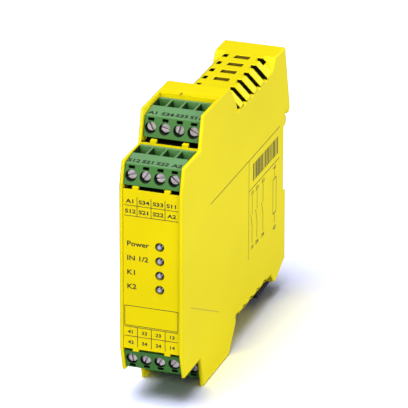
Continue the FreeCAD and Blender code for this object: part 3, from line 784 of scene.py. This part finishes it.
@dataclass
class BoardDetail:
    """Small soldered things on the component side of the circuit board, inside the housing."""

    legs: int = 8
    leg_pitch: float = 1.27 * MM
    leg_size: Point = mm(0.42, 1.1, 0.3)
    joint_height: float = 0.6 * MM
    joint_foot: float = 0.86 * MM
    joint_tip: float = 0.6 * MM
    pins: int = 4
    pin_width: float = 1.0 * MM
    resistors: int = 5
    resistor_size: Point = mm(1.25, 2.0, 0.5)
    resistor_pitch: float = 2.6 * MM
    resistor_heights: tuple[float, ...] = mm(-24.0, -20.5, -17.0, 21.0, 24.5)
    seed: int = 3

    def joints(self, face: float) -> bpy.types.Object:
        """Solder joints where the header pins meet the board.

        Args:
            face: X of the board's component side.

        Returns:
            The joints as one piece.
        """
        plan = JointRow("solder_joint_row", FINISHES[Slot.WIRE])
        rows = []
        for name in ("upper_front", "upper_rear", "lower_front", "lower_rear"):
            ends = [v.co for v in frame["nodes"]["pins_" + name].data.vertices if v.co.x < face + 2 * HAIR]
            low, high = min(v.z for v in ends), max(v.z for v in ends)
            depth = (min(v.y for v in ends) + max(v.y for v in ends)) / 2
            step = (high - low - self.pin_width) / (self.pins - 1)
            rows.append(plan.grown({"Count": self.pins, "Step": (0.0, 0.0, step),
                                    "Start": (face, depth, low + self.pin_width / 2),
                                    "Foot radius": self.joint_foot, "Tip radius": self.joint_tip,
                                    "Height": self.joint_height}))
        return joined("solder_joints", rows, FINISHES[Slot.WIRE])

    def bars(self, name: str, rows: Sequence[tuple[Point, float, int]], size: Point, face: float,
             finish: Finish) -> bpy.types.Object:
        """Rows of equal blocks that stand on the board, each row along the depth.

        Args:
            name: Name of the piece.
            rows: Start, pitch and number of each row.
            size: Size of a block along the depth, up, and off the board.
            face: X of the board's component side.
            finish: Finish of the piece.

        Returns:
            The piece.
        """
        plan = BarRow(name + "_row", finish)
        lay = Matrix(((0, 0, 1, 0), (1, 0, 0, 0), (0, 1, 0, 0), (0, 0, 0, 1)))
        grown = []
        for start, pitch, count in rows:
            mesh = plan.grown({"Count": count, "Step": (pitch, 0.0, 0.0),
                               "Start": (start[1], start[2], face + size[2] / 2), "Width": size[0],
                               "Spread": 0.0, "Height": size[1], "Thickness": size[2], "Seed": self.seed})
            mesh.transform(lay)
            grown.append(mesh)
        return joined(name, grown, finish)

    def build(self) -> None:
        """Make the joints, the chips' legs and the resistors."""
        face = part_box("circuit_board")[1].x
        settle(self.joints(face), "base")
        low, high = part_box("logic_chips")
        heights = [abs(v.co.z) for v in frame["nodes"]["logic_chips"].data.vertices]
        first = (low.y + high.y) / 2 - (self.legs - 1) / 2 * self.leg_pitch
        reach = self.leg_size[1] / 2
        lines = [((0.0, first, side * (edge + turn * reach)), self.leg_pitch, self.legs)
                 for side in (-1, 1) for edge, turn in ((max(heights), 1), (min(heights), -1))]
        settle(self.bars("chip_legs", lines, self.leg_size, face, FINISHES[Slot.WIRE]), "base")
        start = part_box("storage_capacitor")[0].y
        places = [((0.0, start, z), self.resistor_pitch, self.resistors) for z in self.resistor_heights]
        settle(self.bars("chip_resistors", places, self.resistor_size, face, FINISHES[Slot.CHIP]), "base")


# ---- Copies of CAD nodes with soft edges ----------------------------------------------------------------
@dataclass
class SoftEdges:
    """Small radii that a moulded or turned part has along its outer edges.

    Edges that turn by more than the sharp angle and are longer than the shortest get the radius, and
    those of the outline at half the width may get a larger one, 0 for none. Faces that meet at less
    than the flush angle are joined first. Angles are in degrees, and a speck is in square metres.
    """

    radius: float = 0.25 * MM
    shortest: float = 1.2 * MM
    sharp: float = 35.0
    segments: int = 2
    outline: float = 0.0
    half_width: float = 0.0
    flush: float = 0.5
    blend: float = 80.0
    speck: float = 1e-14

    def weight_of(self, edge: bmesh.types.BMEdge) -> float:
        """Find an edge's share of the widest radius; the side walls' outline may have a larger one.

        Args:
            edge: A sharp edge.

        Returns:
            The share, 0 where the edge stays sharp.
        """
        if not (edge.is_convex and edge.calc_length() > self.shortest):
            return 0.0
        if self.outline and all(abs(v.co.x) > self.half_width - HAIR for v in edge.verts):
            return 1.0
        return self.radius / max(self.radius, self.outline)

    def smoothed(self, mesh: bpy.types.Mesh) -> None:
        """Keep the walls flat and let each rounded edge run into them.

        A corner of a rounded face takes the mean direction of the walls around it that turn by less
        than the blend angle, and a corner of a wall that of the walls that lie nearly flush with it.

        Args:
            mesh: A bevelled mesh whose rounded edges carry material index 1; they get index 0 back.
        """
        around: list[list[int]] = [[] for _ in mesh.vertices]
        for face in mesh.polygons:
            for index in face.vertices:
                around[index].append(face.index)
        faces = [(face.normal.copy(), face.area, face.material_index == 1) for face in mesh.polygons]
        normals: list[Vector] = []
        for face in mesh.polygons:
            limit = math.cos(math.radians(self.blend if faces[face.index][2] else self.sharp))
            for index in face.vertices:
                total = Vector()
                for normal, area, rounded in (faces[near] for near in around[index]):
                    if not rounded and normal.dot(face.normal) > limit:
                        total += normal * area
                if total.length < self.speck:
                    for normal, area, _ in (faces[near] for near in around[index]):
                        total += normal * area
                normals.append(total.normalized() if total.length > self.speck else face.normal.copy())
        for face in mesh.polygons:
            face.material_index = 0
            face.use_smooth = True
        mesh.normals_split_custom_set(normals)

    def copy_of(self, node: str, finish: Finish) -> bpy.types.Object:
        """Make a piece from a CAD node, with its edges rounded, and let it stand for the node.

        Args:
            node: Name of the CAD node.
            finish: Finish of the piece.

        Returns:
            The piece, at rest in the part's frame.
        """
        bm = merged(node)
        bmesh.ops.dissolve_limit(bm, angle_limit=math.radians(self.flush), verts=bm.verts, edges=bm.edges,
                                 use_dissolve_boundaries=False)
        bmesh.ops.triangulate(bm, faces=[face for face in bm.faces if len(face.verts) > 4])
        smooth_over(bm, self.sharp)
        weight = bm.edges.layers.float.new("bevel_weight_edge")
        for edge in bm.edges:
            if not edge.smooth:
                edge[weight] = self.weight_of(edge)
        piece = piece_from(bm, node + "_dressed", finish)
        piece.data.materials.append(finish.material())
        bevel = piece.modifiers.new("edges", "BEVEL")
        bevel.limit_method = "WEIGHT"
        bevel.width = max(self.radius, self.outline)
        bevel.segments = self.segments
        bevel.use_clamp_overlap = False
        bevel.material = 1
        baked(piece)
        self.smoothed(piece.data)
        piece.data.materials.pop(index=1)
        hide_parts(node)
        return piece


# ---- Painted light and shade, as second finishes on some faces of a piece -------------------------------
@dataclass
class FacePainter:
    """Gives some faces of a piece a second finish that paints light or shade on them, by where they are and
    what they look at.
    """

    piece: bpy.types.Object
    reaches: list[float] = field(init=False)

    def __post_init__(self) -> None:
        """Measure each face's reach: along its normal to the piece's own next wall, 0 if there is none."""
        mesh = self.piece.data
        tree = BVHTree.FromPolygons([v.co.copy() for v in mesh.vertices],
                                    [tuple(face.vertices) for face in mesh.polygons])
        hits = [tree.ray_cast(face.center + face.normal * HAIR, face.normal) for face in mesh.polygons]
        self.reaches = [distance if place is not None else 0.0 for place, _, _, distance in hits]

    def paint(self, finish: Finish, choose: FaceTest) -> None:
        """Paint the faces that a test picks.

        Args:
            finish: Their finish.
            choose: Test on a face's middle, its normal and its reach.
        """
        mesh = self.piece.data
        mesh.materials.append(finish.material())
        index = len(mesh.materials) - 1
        for face, reach in zip(mesh.polygons, self.reaches):
            if choose(face.center, face.normal, reach):
                face.material_index = index


# ---- Print ----------------------------------------------------------------------------------------------
@dataclass(frozen=True)
class Lettering:
    """How plain letters are set: height of the capitals, width, fatness of the strokes, and whether centred.

    The width is a factor on the letters' usual width, and the weight a share of the height.
    """

    height: float
    stretch: float = 1.0
    weight: float = 0.0
    centred: bool = True
    capital_share: float = 0.73
    curve_steps: int = 3


@dataclass
class PrintPlane:
    """A flat place on the part that carries print: strokes and plain lettering."""

    name: str
    origin: Vector
    right: Vector
    up: Vector
    proud: float = 0.015 * MM
    sunk: float = 0.01 * MM
    line: float = 0.22 * MM
    bm: bmesh.types.BMesh = field(default_factory=bmesh.new)

    def place(self) -> Matrix:
        """Find the way from the plane's own sizes to the part's frame.

        Returns:
            The matrix.
        """
        out = self.right.cross(self.up)
        turn = Matrix((self.right, self.up, out)).transposed().to_4x4()
        return Matrix.Translation(self.origin) @ turn

    def stroke(self, x0: float, y0: float, x1: float, y1: float, width: float | None = None) -> None:
        """Draw a straight line of ink.

        Args:
            x0: Place across of its start.
            y0: Height of its start.
            x1: Place across of its end.
            y1: Height of its end.
            width: Its width, or None for the plane's own.
        """
        width = width or self.line
        start, run = Vector((x0, y0, 0.0)), Vector((x1 - x0, y1 - y0, 0.0))
        turn = Matrix.Rotation(math.atan2(run.y, run.x), 4, "Z")
        size = Matrix.Diagonal((run.length + width, width, self.proud + self.sunk, 1.0))
        middle = start + run / 2 + Vector((0.0, 0.0, (self.proud - self.sunk) / 2))
        bmesh.ops.create_cube(self.bm, size=1.0, matrix=Matrix.Translation(middle) @ turn @ size)

    def frame_box(self, x0: float, y0: float, x1: float, y1: float, width: float | None = None) -> None:
        """Draw the outline of a rectangle, given by two opposite corners."""
        for ends in ((x0, y0, x1, y0), (x1, y0, x1, y1), (x1, y1, x0, y1), (x0, y1, x0, y0)):
            self.stroke(*ends, width)

    def word(self, text: str, x: float, y: float, look: Lettering) -> None:
        """Set a short word or number.

        Args:
            text: The characters.
            x: Place across, of the middle or of the left end.
            y: Height of the middle of the capitals.
            look: How the letters are set.
        """
        curve = bpy.data.curves.new(self.name + "_word", "FONT")
        curve.body = text
        curve.size = look.height / look.capital_share
        curve.align_x = "CENTER" if look.centred else "LEFT"
        curve.resolution_u = look.curve_steps
        curve.offset = look.weight * look.height
        curve.extrude = (self.proud + self.sunk) / 2
        holder = bpy.data.objects.new(curve.name, curve)
        bpy.context.scene.collection.objects.link(holder)
        graph = bpy.context.evaluated_depsgraph_get()
        mesh = bpy.data.meshes.new_from_object(holder.evaluated_get(graph), depsgraph=graph)
        bpy.data.objects.remove(holder)
        mesh.transform(Matrix.Translation((x, y, (self.proud - self.sunk) / 2))
                       @ Matrix.Diagonal((look.stretch, 1.0, 1.0, 1.0))
                       @ Matrix.Translation((0, -look.height / 2, 0)))
        self.bm.from_mesh(mesh)
        bpy.data.meshes.remove(mesh)

    def finished(self, finish: Finish) -> bpy.types.Object:
        """Make all the ink on the plane one piece in the part's frame.

        Args:
            finish: The ink.

        Returns:
            The piece.
        """
        bmesh.ops.transform(self.bm, matrix=self.place(), verts=self.bm.verts)
        return piece_from(self.bm, self.name, finish)


@dataclass(frozen=True)
class TerminalTable:
    """A printed table of terminal names: rows, their heights, foot and top of its rules, and lettering."""

    rows: tuple[tuple[str, ...], ...]
    heights: tuple[float, ...]
    span: tuple[float, float]
    look: Lettering


@dataclass
class FrontPrint:
    """Print on the front of the cover: two terminal tables, the names of the lights and a blank box."""

    half_width: float = 9.4 * MM
    columns: tuple[float, ...] = mm(-7.25, -2.45, 2.5, 7.3)
    rules: tuple[float, ...] = mm(-4.9, 0.0, 4.9)
    cross_rules: tuple[float, ...] = mm(23.1, 19.4, -20.9, -24.3)
    blank_box: tuple[float, float] = mm(-20.4, -13.2)
    top: TerminalTable = TerminalTable((("A1", "S34", "S33", "S11"), ("S12", "S21", "S22", "A2")),
                                       mm(24.7, 21.1), mm(19.4, 26.2), Lettering(1.4 * MM, 1.35, 0.04))
    low: TerminalTable = TerminalTable((("41", "33", "23", "13"), ("42", "34", "24", "14")),
                                       mm(-22.7, -26.5), mm(-28.0, -20.9), Lettering(1.25 * MM, 1.2, 0.04))
    lights: tuple[str, ...] = ("Power", "IN 1/2", "K1", "K2")
    light_heights: tuple[float, ...] = mm(9.5, 4.3, -0.85, -6.0)
    light_start: float = -8.6 * MM
    light_look: Lettering = Lettering(1.8 * MM, 1.2, 0.03, centred=False)

    def table(self, sheet: PrintPlane, table: TerminalTable) -> None:
        """Print one table's upright rules and its names.

        Args:
            sheet: The plane to print on.
            table: The table.
        """
        for x in self.rules:
            sheet.stroke(x, table.span[0], x, table.span[1])
        for row, z in zip(table.rows, table.heights):
            for x, text in zip(self.columns, row):
                sheet.word(text, x, z, table.look)

    def build(self) -> bpy.types.Object:
        """Print everything on the cover's front face.

        Returns:
            The print as one piece.
        """
        low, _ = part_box("front_cover")
        sheet = PrintPlane("front_print", Vector((0, low.y, 0)), Vector((1, 0, 0)), Vector((0, 0, 1)))
        self.table(sheet, self.top)
        self.table(sheet, self.low)
        for z in self.cross_rules:
            sheet.stroke(-self.half_width, z, self.half_width, z)
        sheet.frame_box(-self.half_width, self.blank_box[0], self.half_width, self.blank_box[1])
        for text, z in zip(self.lights, self.light_heights):
            sheet.word(text, self.light_start, z, self.light_look)
        return settle(sheet.finished(BLACK_INK), "base")


@dataclass
class PlugPrint:
    """Terminal numbers on the sloping strip of one plug.

    The strip is given by the depth and height of its front and rear edge on the upper front plug, and
    the tier is the step in depth and height from that plug to this one.
    """

    body: str
    names: tuple[str, ...]
    side: int
    tier: tuple[float, float]
    columns: tuple[float, ...] = mm(-7.5, -2.5, 2.5, 7.5)
    strip: tuple[float, float, float, float] = mm(3.04, 36.9, 9.6, 38.1)
    row: float = 2.3 * MM
    look: Lettering = Lettering(1.9 * MM, 1.15, 0.05)

    def build(self) -> bpy.types.Object:
        """Print the numbers; a lower plug is an upper one turned over about Y.

        Returns:
            The print as one piece.
        """
        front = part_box("housing")[0].y
        d0, z0, d1, z1 = self.strip
        along = Vector((0, d1 - d0, z1 - z0)).normalized()
        start = Vector((0, front + d0 + self.tier[0], z0 + self.tier[1]))
        sheet = PrintPlane(self.body + "_print", start, Vector((1, 0, 0)), along)
        for x, text in zip(self.columns, self.names):
            sheet.word(text, x, self.row, self.look)
        piece = sheet.finished(DARK_GREEN_INK)
        if self.side < 0:
            piece.data.transform(Matrix.Rotation(math.pi, 4, "Y"))
        return settle(piece, self.body)


@dataclass
class SidePrint:
    """Print on the right side wall: rules, a row of bars and a contact diagram with plain numbers.

    Places are a depth behind the front and a height, but the tick's are a place across and a depth.
    A rule, the witness line and the tick are given by both of their ends.
    """

    line: float = 0.3 * MM
    rules: tuple[tuple[float, ...], ...] = (mm(28.5, 15.0, 102.3, 15.0), mm(68.7, 3.4, 101.9, 3.4),
                                            mm(68.75, -21.8, 68.75, 15.0))
    bold: float = 0.35 * MM
    contacts: tuple[tuple[float, str, str], ...] = ((72.5 * MM, "13", "14"), (77.8 * MM, "23", "24"),
                                                    (84.3 * MM, "33", "34"))
    contact_foot: float = -17.0 * MM
    contact_top: float = 0.2 * MM
    blade_throw: float = 1.5 * MM
    blade_half: float = 2.2 * MM
    head_gap: float = 1.4 * MM
    tail_gap: float = 1.7 * MM
    boxed: float = 97.2 * MM
    boxed_heights: tuple[float, ...] = mm(-19.4, -15.6, -2.6, 0.2)
    boxed_half: float = 1.8 * MM
    boxed_numbers: tuple[tuple[str, float], ...] = (("41", 1.7 * MM), ("42", -21.2 * MM))
    look: Lettering = Lettering(1.5 * MM, 1.5, 0.03)
    bar_count: int = 17
    bar_pitch: float = 1.66 * MM
    bar_start: tuple[float, float] = mm(73.6, 8.9)
    bar_width: float = 0.85 * MM
    bar_spread: float = 0.4 * MM
    bar_height: float = 6.4 * MM
    seed: int = 11
    faint: float = 0.012 * MM
    witness: tuple[float, ...] = mm(8.5, -14.6, 36.9, -28.2)
    witness_width: float = 0.4 * MM
    shoulder: float = 49.5 * MM
    tick: tuple[float, ...] = mm(-2.5, 36.8, -2.5, 38.4)
    tick_width: float = 0.7 * MM

    def contact(self, sheet: PrintPlane, depth: float, head: str, tail: str) -> None:
        """Draw one open relay contact as a line with a slanting blade.

        Args:
            sheet: The plane to draw on.
            depth: Depth of the contact's line.
            head: Number above it.
            tail: Number below it.
        """
        middle = (self.contact_top + self.contact_foot) / 2
        over, under = middle + self.blade_half, middle - self.blade_half
        sheet.stroke(depth, self.contact_top, depth, over, self.bold)
        sheet.stroke(depth, self.contact_foot, depth, under, self.bold)
        sheet.stroke(depth, under, depth - self.blade_throw, over, self.bold)
        sheet.word(head, depth, self.contact_top + self.head_gap, self.look)
        sheet.word(tail, depth, self.contact_foot - self.tail_gap, self.look)

    def boxed_contact(self, sheet: PrintPlane) -> None:
        """Draw the monitoring contact as a plain box with a lead at each end.

        Args:
            sheet: The plane to draw on.
        """
        foot, box_foot, box_top, top = self.boxed_heights
        near, far = self.boxed - self.boxed_half, self.boxed + self.boxed_half
        sheet.stroke(self.boxed, top, self.boxed, box_top, self.bold)
        sheet.frame_box(near, box_foot, far, box_top, self.bold)
        sheet.stroke(self.boxed, box_foot, self.boxed, foot, self.bold)
        for text, z in self.boxed_numbers:
            sheet.word(text, self.boxed, z, self.look)

    def label(self, corner: Vector) -> None:
        """Print the rules, the contact diagram and the row of bars.

        Args:
            corner: Place on the wall at depth 0 and height 0.
        """
        sheet = PrintPlane("side_print", corner, Vector((0, 1, 0)), Vector((0, 0, 1)))
        for ends in self.rules:
            sheet.stroke(*ends, self.line)
        for depth, head, tail in self.contacts:
            self.contact(sheet, depth, head, tail)
        self.boxed_contact(sheet)
        bars = BarRow("side_label_bars", BLACK_INK).grown({
            "Count": self.bar_count, "Step": (self.bar_pitch, 0.0, 0.0),
            "Start": (*self.bar_start, (sheet.proud - sheet.sunk) / 2), "Width": self.bar_width,
            "Spread": self.bar_spread, "Height": self.bar_height, "Thickness": sheet.proud + sheet.sunk,
            "Seed": self.seed})
        sheet.bm.from_mesh(bars)
        settle(sheet.finished(BLACK_INK), "base")

    def build(self) -> None:
        """Print the side wall, and draw on it the painted shade of a faint moulded line and, on the shoulder
        behind the upper plugs, the tick as a painted shadow.
        """
        low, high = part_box("housing")
        corner = Vector((high.x, low.y, 0))
        self.label(corner)
        # The witness line is painted shade along a faint moulded line, drawn in ink.
        witness = PrintPlane("side_mould_line_painted_shade", corner, Vector((0, 1, 0)), Vector((0, 0, 1)), self.faint)
        witness.stroke(*self.witness, self.witness_width)
        settle(witness.finished(MOULD_LINE_SHADE), "base")
        # The tick is a painted shadow: a dark-yellow mark in ink where a small shadow falls.
        tick = PrintPlane("shoulder_tick_painted_shadow", Vector((0, low.y, self.shoulder)), Vector((1, 0, 0)),
                          Vector((0, 1, 0)), self.faint)
        tick.stroke(*self.tick, self.tick_width)
        settle(tick.finished(SHOULDER_SHADOW), "base")


# ---- Pieces that stand for CAD nodes --------------------------------------------------------------------
@dataclass
class Shell:
    """The yellow housing and its front cover.

    The seam is the depth at which the cover ends, and the fields after it tell the walls of the room
    behind the cover and of the vent slots in the roof, which get painted shade, from the outer walls.
    """

    radius: float = 0.28 * MM
    outline: float = 0.75 * MM
    cover_edges: SoftEdges = field(default_factory=lambda: SoftEdges(radius=0.2 * MM))
    seam: float = 41.5 * MM
    rear_wall: float = 101.0 * MM
    inner: float = 10.05 * MM
    roof: float = 36.0 * MM
    slot_width: float = 4.0 * MM
    slot_facing: float = 0.7
    middle_row: float = 4.0 * MM
    ledge_heights: tuple[float, ...] = mm(29.05, 38.85)
    ledge_depth: float = 1.3 * MM
    ledge_facing: float = 0.8

    def housing(self) -> None:
        """Make the housing, with painted shade on its inner walls and in its vent slots."""
        low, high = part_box("housing")
        edges = SoftEdges(radius=self.radius, outline=self.outline, half_width=high.x)
        piece = edges.copy_of("housing", FINISHES[Slot.HOUSING])

        def inside(middle: Vector, _: Vector, reach: float) -> bool:
            """Walls of the room behind the front cover, which get a dark colour as painted shade."""
            return (self.seam < middle.y - low.y < self.rear_wall and abs(middle.x) < self.inner
                    and reach > self.slot_width)

        def slot_wall(middle: Vector, normal: Vector, reach: float) -> bool:
            """Front and rear walls of the vent slots, which get painted shade."""
            return (abs(normal.y) > self.slot_facing and 0 < reach < self.slot_width
                    and abs(middle.z) > self.roof and middle.y - low.y > self.seam)

        def side_slot_wall(middle: Vector, normal: Vector, reach: float) -> bool:
            """The same walls of the slots beside the middle row, which get a darker painted shade."""
            return abs(middle.x) > self.middle_row and slot_wall(middle, normal, reach)

        painter = FacePainter(piece)
        painter.paint(VENT_SHADE, inside)
        painter.paint(SLOT_SHADE, slot_wall)
        painter.paint(GAP_SHADE, side_slot_wall)
        settle(piece, "base")

    def cover(self) -> None:
        """Make the front cover, with painted shade in the gaps between its ledges and the plugs."""
        piece = self.cover_edges.copy_of("front_cover", FINISHES[Slot.COVER])

        def ledge(middle: Vector, normal: Vector, _: float) -> bool:
            """Ledge floors and rims under the plugs, which get painted shade."""
            return (normal.z * math.copysign(1.0, middle.z) > self.ledge_facing
                    and any(top - self.ledge_depth < abs(middle.z) < top for top in self.ledge_heights))

        FacePainter(piece).paint(GAP_SHADE, ledge)
        settle(piece, "base")

    def build(self) -> None:
        """Make both shells."""
        self.housing()
        self.cover()


@dataclass
class TerminalPlug:
    """One plug-in terminal block with its four screws.

    The side is 1 for an upper plug and -1 for a lower one. The tier is the step in depth and height
    from the upper front plug, as it is before a lower plug is turned over.
    """

    name: str
    numbers: tuple[str, ...]
    side: int
    tier: tuple[float, float] = (0.0, 0.0)
    poles: int = 4
    strip_drop: float = 1.3 * MM
    strip_facing: float = 0.9
    well_reach: float = 4.3 * MM
    well_depth: float = 8.0 * MM
    well_facing: float = 0.5
    funnel_depth: float = 9.0 * MM
    screw_slot: float = 1.2 * MM
    edges: SoftEdges = field(default_factory=lambda: SoftEdges(radius=0.18 * MM, shortest=0.9 * MM))
    screw_edges: SoftEdges = field(default_factory=lambda: SoftEdges(radius=0.12 * MM, shortest=0.2 * MM))

    def moulding(self, body: str) -> None:
        """Make the green moulding, with painted light on its upward faces and painted shade in its wells and
        funnels.

        Args:
            body: Name of the plug's node and of its body.
        """
        piece = self.edges.copy_of(body, FINISHES[Slot.PLUG])
        low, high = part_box(body)
        strip_foot = (high.z if self.side > 0 else -low.z) - self.strip_drop
        funnel_foot = (high.z if self.side > 0 else -low.z) - self.funnel_depth

        def top(middle: Vector, normal: Vector, _: float) -> bool:
            """The sloping strip and the flat outer face around the funnels, which face up and get a paler
            colour as painted light.
            """
            return normal.z * self.side > self.strip_facing and middle.z * self.side > strip_foot

        def well(middle: Vector, normal: Vector, reach: float) -> bool:
            """Walls of the screw wells and test slots, which get painted shade."""
            return (abs(normal.y) < self.well_facing and 0 < reach < self.well_reach
                    and middle.y - low.y < self.well_depth and middle.z * self.side < strip_foot)

        def funnel(middle: Vector, _: Vector, reach: float) -> bool:
            """Inner walls of the wire funnels, which get painted shade."""
            return (0 < reach < self.well_reach and middle.y - low.y > self.well_depth
                    and middle.z * self.side > funnel_foot)

        painter = FacePainter(piece)
        painter.paint(PAINTED_TOP_LIGHT, top)
        painter.paint(WELL_SHADE, well)
        painter.paint(FUNNEL_SHADE, funnel)
        settle(piece, body)

    def screw(self, name: str) -> None:
        """Make one clamp screw, with painted shade in its slot.

        Args:
            name: Name of the screw's node and of its body.
        """
        piece = self.screw_edges.copy_of(name, FINISHES[Slot.SCREW])
        # The slot's walls get the darker metal as painted shade.
        FacePainter(piece).paint(SCREW_SLOT_SHADE, lambda middle, normal, reach: 0 < reach < self.screw_slot)
        settle(piece, name)

    def build(self) -> None:
        """Make the moulding, the screws and the numbers."""
        body = "plug_" + self.name
        self.moulding(body)
        for k in range(1, self.poles + 1):
            self.screw(f"screw_{self.name}_{k}")
        PlugPrint(body, self.numbers, self.side, self.tier).build()


@dataclass
class StatusLights:
    """Four smoked lenses in the front cover: height of the first, pitch, and offset from the middle."""

    first: float = 9.4 * MM
    pitch: float = 5.15 * MM
    offset: float = 3.0 * MM
    radius: float = 1.5 * MM
    count: int = 4
    sharp: float = 40.0

    def build(self) -> bpy.types.Object:
        """Copy the lenses and mark each point's distance from its own axis.

        Returns:
            The lenses as one piece.
        """
        bm = merged("status_leds")
        # The crown value drives the lens's painted highlight at the axis and its painted shade at the rim.
        crown = bm.verts.layers.float.new("crown")
        axes = [self.first - k * self.pitch for k in range(self.count)]
        for vertex in bm.verts:
            axis = min(axes, key=lambda z: abs(vertex.co.z - z))
            vertex[crown] = min(1.0, math.hypot(vertex.co.x - self.offset, vertex.co.z - axis) / self.radius)
        smooth_over(bm, self.sharp)
        piece = piece_from(bm, "status_lenses", FINISHES[Slot.LENS])
        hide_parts("status_leds")
        return settle(piece, "base")


@dataclass
class FootLatch:
    """The black latch that holds the module on its rail."""

    edges: SoftEdges = field(default_factory=lambda: SoftEdges(radius=0.25 * MM))

    def build(self) -> bpy.types.Object:
        """Make the latch with softened edges."""
        return settle(self.edges.copy_of("foot_latch", FINISHES[Slot.LATCH]), "latch")


@dataclass
class LatchSpring:
    """The latch's coil spring: height of the fixed post under it, and the latch's way down."""

    post: float = -34.2 * MM
    travel: float = 3.0 * MM
    sharp: float = 70.0

    def build(self) -> bpy.types.Object:
        """Copy the coil and smooth it.

        Returns:
            The spring.
        """
        bm = merged("foot_spring")
        smooth_over(bm, self.sharp)
        piece = piece_from(bm, "latch_spring", FINISHES[Slot.SPRING])
        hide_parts("foot_spring")
        settle(piece, "base")
        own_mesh(piece)
        return piece


@dataclass
class CarriedNodes:
    """CAD nodes that show as they are, in the finishes of their slots."""

    def build(self) -> None:
        """Assign each node's finish to its material slots."""
        slots = {s["node"]: Slot(s["material_slot"]) for s in frame["record"]["subparts"]}
        for name, node in frame["nodes"].items():
            for place in node.material_slots:
                place.material = FINISHES[slots[name]].material()
        LOG.info("finishes on %d nodes", len(frame["nodes"]))


# ---- Studio ---------------------------------------------------------------------------------------------
@dataclass(frozen=True)
class Lamp:
    """A square soft lamp: the place of its middle, its side length and its power in watts."""

    name: str
    place: Point
    size: float
    power: float
    lights_floor: bool = False

    def hang(self, aim: Point, floor: bpy.types.Object) -> None:
        """Hang the lamp.

        Args:
            aim: The point that it faces.
            floor: The floor, which only some lamps light.
        """
        light = bpy.data.lights.new(self.name, "AREA")
        light.shape = "SQUARE"
        light.size = self.size
        light.energy = self.power
        holder = bpy.data.objects.new(self.name, light)
        holder.location = self.place
        holder.rotation_euler = (Vector(aim) - Vector(self.place)).to_track_quat("-Z", "Y").to_euler()
        bpy.context.scene.collection.objects.link(holder)
        if not self.lights_floor:
            shielded = bpy.data.collections.new(self.name + "_shielded")
            shielded.objects.link(floor)
            shielded.collection_objects[0].light_linking.link_state = "EXCLUDE"
            holder.light_linking.receiver_collection = shielded


@dataclass
class Studio:
    """Floor, world, lamps and camera; only the top lamp lights the floor, so that it alone casts a shadow."""

    floor_size: float = 6.0
    floor_gap: float = 0.02 * MM
    world_strength: float = 0.08
    aim: Point = (0.0, -0.055, 0.0)
    lamps: tuple[Lamp, ...] = (Lamp("key", (-0.55, -1.3, 0.55), 0.6, 9.0),
                               Lamp("fill", (1.35, -0.7, 0.5), 0.7, 16.0),
                               Lamp("rear", (0.9, 1.2, 0.5), 0.8, 9.0),
                               Lamp("top", (-0.2, -0.38, 1.3), 1.2, 15.0, lights_floor=True))
    lens: float = 377.05
    sensor: float = 36.0
    sight: float = 20.0
    azimuth: float = 19.075
    elevation: float = 22.957
    roll: float = 0.161
    eye: Point = (0.43987, -1.32756, 0.57342)

    def floor(self) -> bpy.types.Object:
        """Lay a wide plain floor under the part's lowest point.

        Returns:
            The floor.
        """
        bm = bmesh.new()
        bmesh.ops.create_grid(bm, x_segments=4, y_segments=4, size=self.floor_size / 2)
        floor = piece_from(bm, "floor", FLOOR)
        floor.data.transform(Matrix.Translation((0, 0, CAD_BOX[0].z - self.floor_gap)))
        return floor

    def world(self) -> None:
        """Surround the part with an even faint white, seen as pure white."""
        world = bpy.data.worlds.new("white_surround")
        world.use_nodes = True
        bpy.context.scene.world = world
        tree = world.node_tree
        back = tree.nodes["Background"]
        back.inputs["Color"].default_value = (1.0, 1.0, 1.0, 1.0)
        tree.links.new(by_sight(tree, self.world_strength, 1.0), back.inputs["Strength"])

    def camera(self) -> None:
        """Look from the front right and above."""
        a, e, r = (math.radians(v) for v in (self.azimuth, self.elevation, self.roll))
        ahead = Vector((-math.sin(a) * math.cos(e), math.cos(a) * math.cos(e), -math.sin(e)))
        level = ahead.cross(Vector((0, 0, 1))).normalized()
        top = level.cross(ahead)
        right = math.cos(r) * level + math.sin(r) * top
        up = -math.sin(r) * level + math.cos(r) * top
        data = bpy.data.cameras.new("camera")
        data.lens = self.lens
        data.sensor_width = self.sensor
        data.clip_end = self.sight
        holder = bpy.data.objects.new("camera", data)
        holder.matrix_world = Matrix.Translation(self.eye) @ Matrix((right, up, -ahead)).transposed().to_4x4()
        bpy.context.scene.collection.objects.link(holder)
        bpy.context.scene.camera = holder

    def build(self) -> None:
        """Set up the whole studio."""
        bpy.context.scene.view_settings.view_transform = "Standard"
        floor = self.floor()
        self.world()
        for lamp in self.lamps:
            lamp.hang(self.aim, floor)
        self.camera()


REAR_TIER = mm(19.0, 9.8)
PLUGS = (TerminalPlug("upper_front", ("S12", "S21", "S22", "A2"), side=1),
         TerminalPlug("upper_rear", ("A1", "S34", "S33", "S11"), side=1, tier=REAR_TIER),
         TerminalPlug("lower_front", ("14", "24", "34", "42"), side=-1),
         TerminalPlug("lower_rear", ("13", "23", "33", "41"), side=-1, tier=REAR_TIER))


def main() -> None:
    """Build the dressed part and its studio."""
    logging.basicConfig(level=logging.INFO, format="%(name)s: %(message)s")
    CarriedNodes().build()
    Shell().build()
    for plug in PLUGS:
        plug.build()
    StatusLights().build()
    FootLatch().build()
    LatchSpring().build()
    BoardDetail().build()
    FrontPrint().build()
    SidePrint().build()
    Studio().build()


if __name__ == "__main__":
    main()
